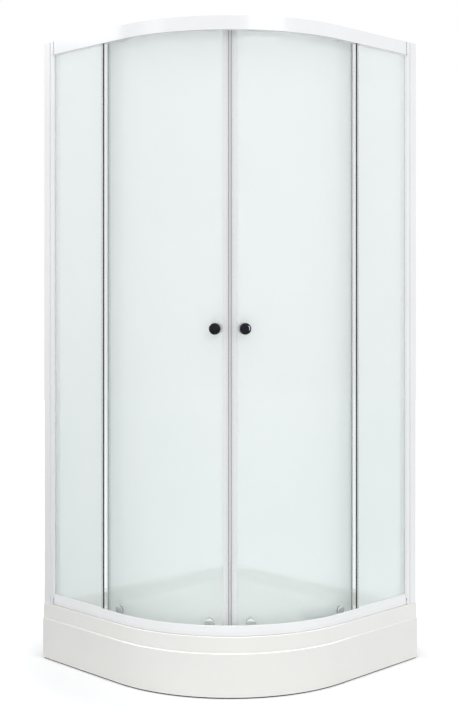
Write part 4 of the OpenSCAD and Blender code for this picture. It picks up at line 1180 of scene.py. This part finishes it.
SEAL_IN, SEAL_OUT = DOOR_MID - 6, DOOR_MID + 6
GROOVE_FLOOR = SEAL_OUT - 2.2
LEG_T = 1
LEG_END = 21.2
GLASS_END = LEAD - OFF
LEG_HOLD = 14.0
lead_places = [
    (SEAL_IN, 0.2), *offsets(SEAL_OUT, 0.0, [(-1.6, 0.2), (-1.6, 1.0), (0.0, 1.1), (0.0, 4.2)]),
    (GROOVE_FLOOR, 4.3), (GROOVE_FLOOR, GLASS_END),
    *offsets(DOOR_OUT, 0.0, [(0.25, GLASS_END), (0.25, 9.9), (LEG_T, 10.0), (LEG_T, LEG_HOLD)]),
    *offsets(DOOR_OUT, 0.0, [(LEG_T, LEG_END), (OFF, LEG_END), (OFF, LEG_HOLD), (OFF, GLASS_END)]),
    *offsets(DOOR_IN, 0.0, [(-OFF, GLASS_END), (-OFF, LEG_HOLD), (-OFF, LEG_END)]),
    *offsets(DOOR_IN, 0.0, [(-LEG_T, LEG_END), (-LEG_T, LEG_HOLD), (-LEG_T, GLASS_END)]),
    (SEAL_IN, GLASS_END),
]
lead_outline = [door_plan(*place) for place in lead_places]
lead_chamber = across_glass(SEAL_IN + 1, SEAL_OUT - 2.7, 1.2, 7.2)
both(
    "magnet_seal",
    prism([soften(lead_outline, 0.45), soften(lead_chamber, 0.3)], DOOR_LOW, DOOR_HIGH), soft_vinyl,
    ["{side}_magnet_seal"], "{side}_door",
)
# Painted highlight: the bead on the seal's outer corner is made in white vinyl to stand for the
# light that corner catches.
lead_highlight = across_glass(GROOVE_FLOOR + 0.02, SEAL_OUT, 6.3, GLASS_END)
both(
    "magnet_seal_rib", full_height([lead_highlight], 0.5), white_vinyl, ["{side}_magnet_seal"],
    "{side}_door",
)
# The first strip is the magnet in the seal's chamber; the other two are painted shade, dark lines
# in the notch by the meeting edge and in the groove beside the chamber.
magnet_and_shade_strips = [
    across_glass(SEAL_IN + 1.05, SEAL_OUT - 2.75, 1.25, 4.25),
    across_glass(SEAL_OUT - 1.55, SEAL_OUT - 0.3, 0.25, 0.55),
    across_glass(GROOVE_FLOOR + 0.02, GROOVE_FLOOR + 1.0, 4.6, 5.5),
]
both(
    "magnet_strip", full_height(magnet_and_shade_strips, 0.3), magnet_and_shade_black, ["{side}_magnet_strip"], "{side}_door",
)
TAIL_OUT = ARC_X + DOOR_OUT + LEG_T
TAIL_IN = ARC_X + DOOR_IN - LEG_T
TAIL_FROM = DOOR_TAIL - 13
FIN = 13.0
tail_outline = [
    *offsets(TAIL_IN, TAIL_FROM, [(0, 0), (LEG_T, 0)]), (TAIL_IN + LEG_T, DOOR_TAIL),
    *offsets(TAIL_OUT, DOOR_TAIL, [(-LEG_T, 0), (-LEG_T, -11)]),
    *offsets(TAIL_OUT - 0.5, DOOR_TAIL, [(0, -11), (0, -4), (0, -0.3)]),
    *offsets(TAIL_OUT + FIN, DOOR_TAIL + FIN, [(0, 0), (-1, 1)]), (TAIL_OUT - 1, DOOR_TAIL + 1),
    (TAIL_IN, DOOR_TAIL + 1),
]
both(
    "trailing_seal", full_height([tail_outline], 0.4), clear_vinyl, ["{side}_edge_seal"],
    "{side}_door",
)
RIB_IN = TAIL_OUT - 0.98
RIB_W = 1.9
rib_starts = (TAIL_FROM, DOOR_TAIL - 2.4)
tail_ribs = [oblong(RIB_IN, TAIL_OUT, start, start + RIB_W) for start in rib_starts]
both(
    "trailing_seal_ribs", full_height(tail_ribs, 0.4), white_vinyl, ["{side}_edge_seal"],
    "{side}_door",
)

# Knobs. Turned brass with a dark chrome finish, one outside and one inside each door, drawn
# together by a threaded stud through the glass, with a thin washer under each.
# Dark chrome: almost black in its face and bright where it turns away.
dark_chrome = surface(
    "dark_chrome_plate", ("#222226", "#2c2c31"), (0.06, 0.13), mottle_mm=12, grain_mm=4,
    grain_depth_mm=0.008, fixed={"Metallic": 1.0},
)
WASHER = 0.8
KNOB_BACK = DOOR_IN - WASHER - 0.4
knob_profile = [
    (0.0, 0.0), (13.0, 0.0), (13.7, 0.6), (13.7, 2.2), (12.9, 3.0), (8.8, 3.6), (7.4, 5.4),
    (7.2, 9.0), (7.4, 14.2), (8.8, 17.0), (11.0, 18.2),
]
knob_profile += [(13.1 + 4.9 * math.sin(a), 23.1 - 4.9 * math.cos(a)) for a in turns(0, 90, 6)]
knob_profile += [(18.0, 31.4), (17.9, 32.6), (17.4, 33.6), (16.6, 34.4), (12.6, 36.9), (11.6, 37.4)]
knob_profile += [(10.4, 37.7), (6.0, 37.9), (0.0, 38.0)]
knob_form = placed(turned(knob_profile, 64), TO_X)
outer_knobs = both(
    "outer_knob", placed(knob_form, AT_KNOB @ Matrix.Translation((DOOR_OUT + WASHER, 0, 0))),
    dark_chrome, ["{side}_outer_knob"], "{side}_door",
)
bright_knob.objects.link(outer_knobs[0])
BEHIND = Matrix.Scale(-1, 4, (1, 0, 0))
both(
    "inner_knob", placed(knob_form, AT_KNOB @ Matrix.Translation((KNOB_BACK, 0, 0)) @ BEHIND),
    dark_chrome, ["{side}_inner_knob"], "{side}_door",
)
WASHER_IN, WASHER_OUT = 3.0, 12.4
washer_form = [
    (WASHER_IN, 0.0), (WASHER_OUT, 0.0), (WASHER_OUT + 0.5, 0.25), (WASHER_OUT + 0.5, 0.55),
    (WASHER_OUT, WASHER), (WASHER_IN, WASHER),
]
STUD_BACK, STUD_FRONT = -8.2, 14.0


def facing(spot, out, up=0.0):
    """Place for a turned shell: so far out from the arc's middle, its axis across the glass."""
    return spot @ Matrix.Translation((out, 0, up)) @ TO_X


stud = turned(oblong(0, WASHER_IN, STUD_BACK, STUD_FRONT), 24)
stud_shells = [placed(stud, facing(AT_KNOB, DOOR_IN - 0.4))]
washer = turned(washer_form, closed=True)
stud_shells += [placed(washer, facing(AT_KNOB, out)) for out in (DOOR_OUT, KNOB_BACK)]
both(
    "knob_stud", joined(stud_shells), zinc_plate, ["{side}_knob_stud"], "{side}_door",
)

# Top hangers. Bent steel shoes over the glass edge, powder-coated white like the frame, each
# with an upright that reaches over the rail's lip, and a nylon wheel on a riveted pin.
# Cast nylon: creamy white, dry to the touch, with a faintly polished tread.
cast_nylon = surface(
    "cast_nylon_white", ("#e3e2dc", "#ebeae5"), (0.36, 0.5), mottle_mm=6, grain_mm=0.9,
    grain_depth_mm=0.02, fixed={"IOR": 1.53},
)
for side in ("left", "right"):
    repaint(f"{side}_top_hangers", white_powder)
WHEEL_X = FRONT_R - 31.75
TOP_WHEEL_Z = 2073.8
LOW_WHEEL_Z = 201.3


def wheel_profile(radius, width, bore):
    """Wheel section: rounded tread, recessed web and a raised hub round the bore."""
    h = width / 2
    half = offsets(radius, h, [(0, -1.1), (-0.2, -0.4), (-0.8, 0), (-2.2, 0), (-2.6, -0.7)])
    half += offsets(bore, h, [(2.4, -0.7), (2.1, 0), (0.2, 0), (0, -0.2)])
    other_half = [(r, -z) for r, z in reversed(half)]
    return other_half[-3:] + half + other_half[:-3]


for number, spot in enumerate(AT_ROLLERS, 1):
    for kind, level, sizes in (
        ("top", TOP_WHEEL_Z, (11.5, 5.0, 2.05)), ("bottom", LOW_WHEEL_Z, (9.0, 4.0, 1.55)),
    ):
        wheel = turned(wheel_profile(*sizes), 56, closed=True)
        both(
            f"{kind}_wheel_{number}", placed(wheel, facing(spot, WHEEL_X, level)), cast_nylon,
            [f"{{side}}_{kind}_wheel_{number}"], f"{{side}}_{kind}_wheel_{number}",
        )
axle_form = [
    (0.0, 0.0), (2.0, 0.0), (2.0, 2.5), (3.0, 2.5), (3.0, 3.7), (2.0, 3.7), (2.0, 9.3), (3.4, 9.3),
    (3.6, 9.7), (3.0, 10.4), (0.0, 10.5),
]
axle = turned(axle_form, 32)
AXLE_X = WHEEL_X - 6.5
both(
    "top_axles", joined([placed(axle, facing(spot, AXLE_X, TOP_WHEEL_Z)) for spot in AT_ROLLERS]),
    zinc_plate, ["{side}_top_axles"], "{side}_door",
)

# Lower rollers. Round chromed plastic bodies, clamped through the glass, each with a black rubber
# band round its rim whose dark also stands as painted reflection on the chrome rim. A spring-loaded
# bar with a finger tab slides in each and carries the small wheel that runs in the bottom rail.
# Chromed plastic: bright and slightly warped, so reflections on it swim a little.
chromed_abs = surface(
    "chromed_moulded_abs", ("#eceeef", "#f3f4f5"), (0.16, 0.24), mottle_mm=10, grain_mm=8,
    grain_depth_mm=0.03, fixed={"Metallic": 1.0},
)
ROLLER_R = 15.0
BAR_HALF = 3.3
CUT_HALF = BAR_HALF + 1.2
CUT_LOW = -6.0
SHAFT_R = 3.0
NUT_IN = 438.7
BUSH_IN = DOOR_IN - 0.3
BODY_IN = DOOR_OUT + 0.3
NECK = 459.3
HALVES_IN, HALVES_OUT = 461.6, 464.8
DISC_OUT = 465.7


def across(outline, x0, x1, edge=0.0):
    """Shell with a (y, z) outline, from x0 to x1, its outer rim drawn in by edge."""
    middle = Vector((sum(p[0] for p in outline), sum(p[1] for p in outline))) / len(outline)
    rim = [tuple(middle + (Vector(p) - middle) * (1 - edge / ROLLER_R)) for p in outline]
    stages = [(x0, outline), (x1 - edge, outline)] + ([(x1, rim)] if edge else [])
    return loft([[(x, y, z) for y, z in shape] for x, shape in stages])


def gap_angle(half_gap):
    """Angle at the rim, from straight up, where an upright gap of twice this width ends."""
    return math.degrees(math.asin(half_gap / ROLLER_R))


def rim_arc(radius, start, end, steps=24):
    """Points (y, z) round the roller's axis between two angles from straight up."""
    return [(radius * math.sin(a), radius * math.cos(a)) for a in turns(start, end, steps)]


def both_halves(half, x0, x1):
    """The right half of a shell and its mirror image on the other side of the bar."""
    return [across(outline, x0, x1) for outline in (half, [(-y, z) for y, z in reversed(half)])]


def at_rollers(shell):
    """The shell at both lower rollers of a door."""
    lift = Matrix.Translation((0, 0, ROLLER_Z))
    return joined([placed(shell, spot @ lift) for spot in AT_ROLLERS])


bar_gap, cut_gap, dark_rim_gap = [gap_angle(half) for half in (BAR_HALF, CUT_HALF, BAR_HALF + 1.0)]
half_disc = rim_arc(ROLLER_R, bar_gap, 180 - bar_gap)
front_disc = rim_arc(ROLLER_R, -180 + cut_gap, 180 - cut_gap, 44)
front_disc += [(CUT_HALF, CUT_LOW), (-CUT_HALF, CUT_LOW)]
body_form = [
    (0.0, BODY_IN), (14.2, BODY_IN), (ROLLER_R, BODY_IN + 0.7), (ROLLER_R, NECK), (14.5, NECK),
    (14.5, HALVES_IN), (0.0, HALVES_IN),
]
bush_form = oblong(0, 5.7, BUSH_IN, BODY_IN)
shaft_form = oblong(0, SHAFT_R, NUT_IN, BUSH_IN)
roller_form = joined([
    placed(turned(body_form, 56), TO_X), *both_halves(half_disc, HALVES_IN, HALVES_OUT),
    across(front_disc, HALVES_OUT, DISC_OUT, 0.5), placed(turned(bush_form, 32), TO_X),
    placed(turned(shaft_form, 24), TO_X),
])
# Black band round each rim: a rubber band, and painted reflection of the dark a chrome rim mirrors.
dark_rim_arc = rim_arc(ROLLER_R, dark_rim_gap, 180 - dark_rim_gap) + rim_arc(14.6, 180 - dark_rim_gap, dark_rim_gap)
both(
    "lower_roller_bands", at_rollers(joined(both_halves(dark_rim_arc, NECK + 0.1, HALVES_IN + 0.4))),
    black_epdm, ["{side}_bottom_rollers"], "{side}_door",
)
both(
    "lower_roller_bodies", at_rollers(roller_form), chromed_abs, ["{side}_bottom_rollers"],
    "{side}_door",
)
NUT_OUT = DOOR_IN - 0.6
nut_form = [
    (SHAFT_R, NUT_IN), (9.8, NUT_IN), (11.2, NUT_IN + 0.6), (12.0, NUT_IN + 1.9),
    (12.0, NUT_OUT - 0.8), (11.4, NUT_OUT), (SHAFT_R, NUT_OUT),
]
nut = turned(nut_form, 56, closed=True)
both(
    "lower_roller_nuts", joined([placed(nut, facing(spot, 0, ROLLER_Z)) for spot in AT_ROLLERS]),
    chromed_abs, ["{side}_bottom_roller_nuts"], "{side}_door",
)
for side in ("left", "right"):
    for number in (1, 2):
        repaint(f"{side}_bottom_plunger_{number}", zinc_plate)
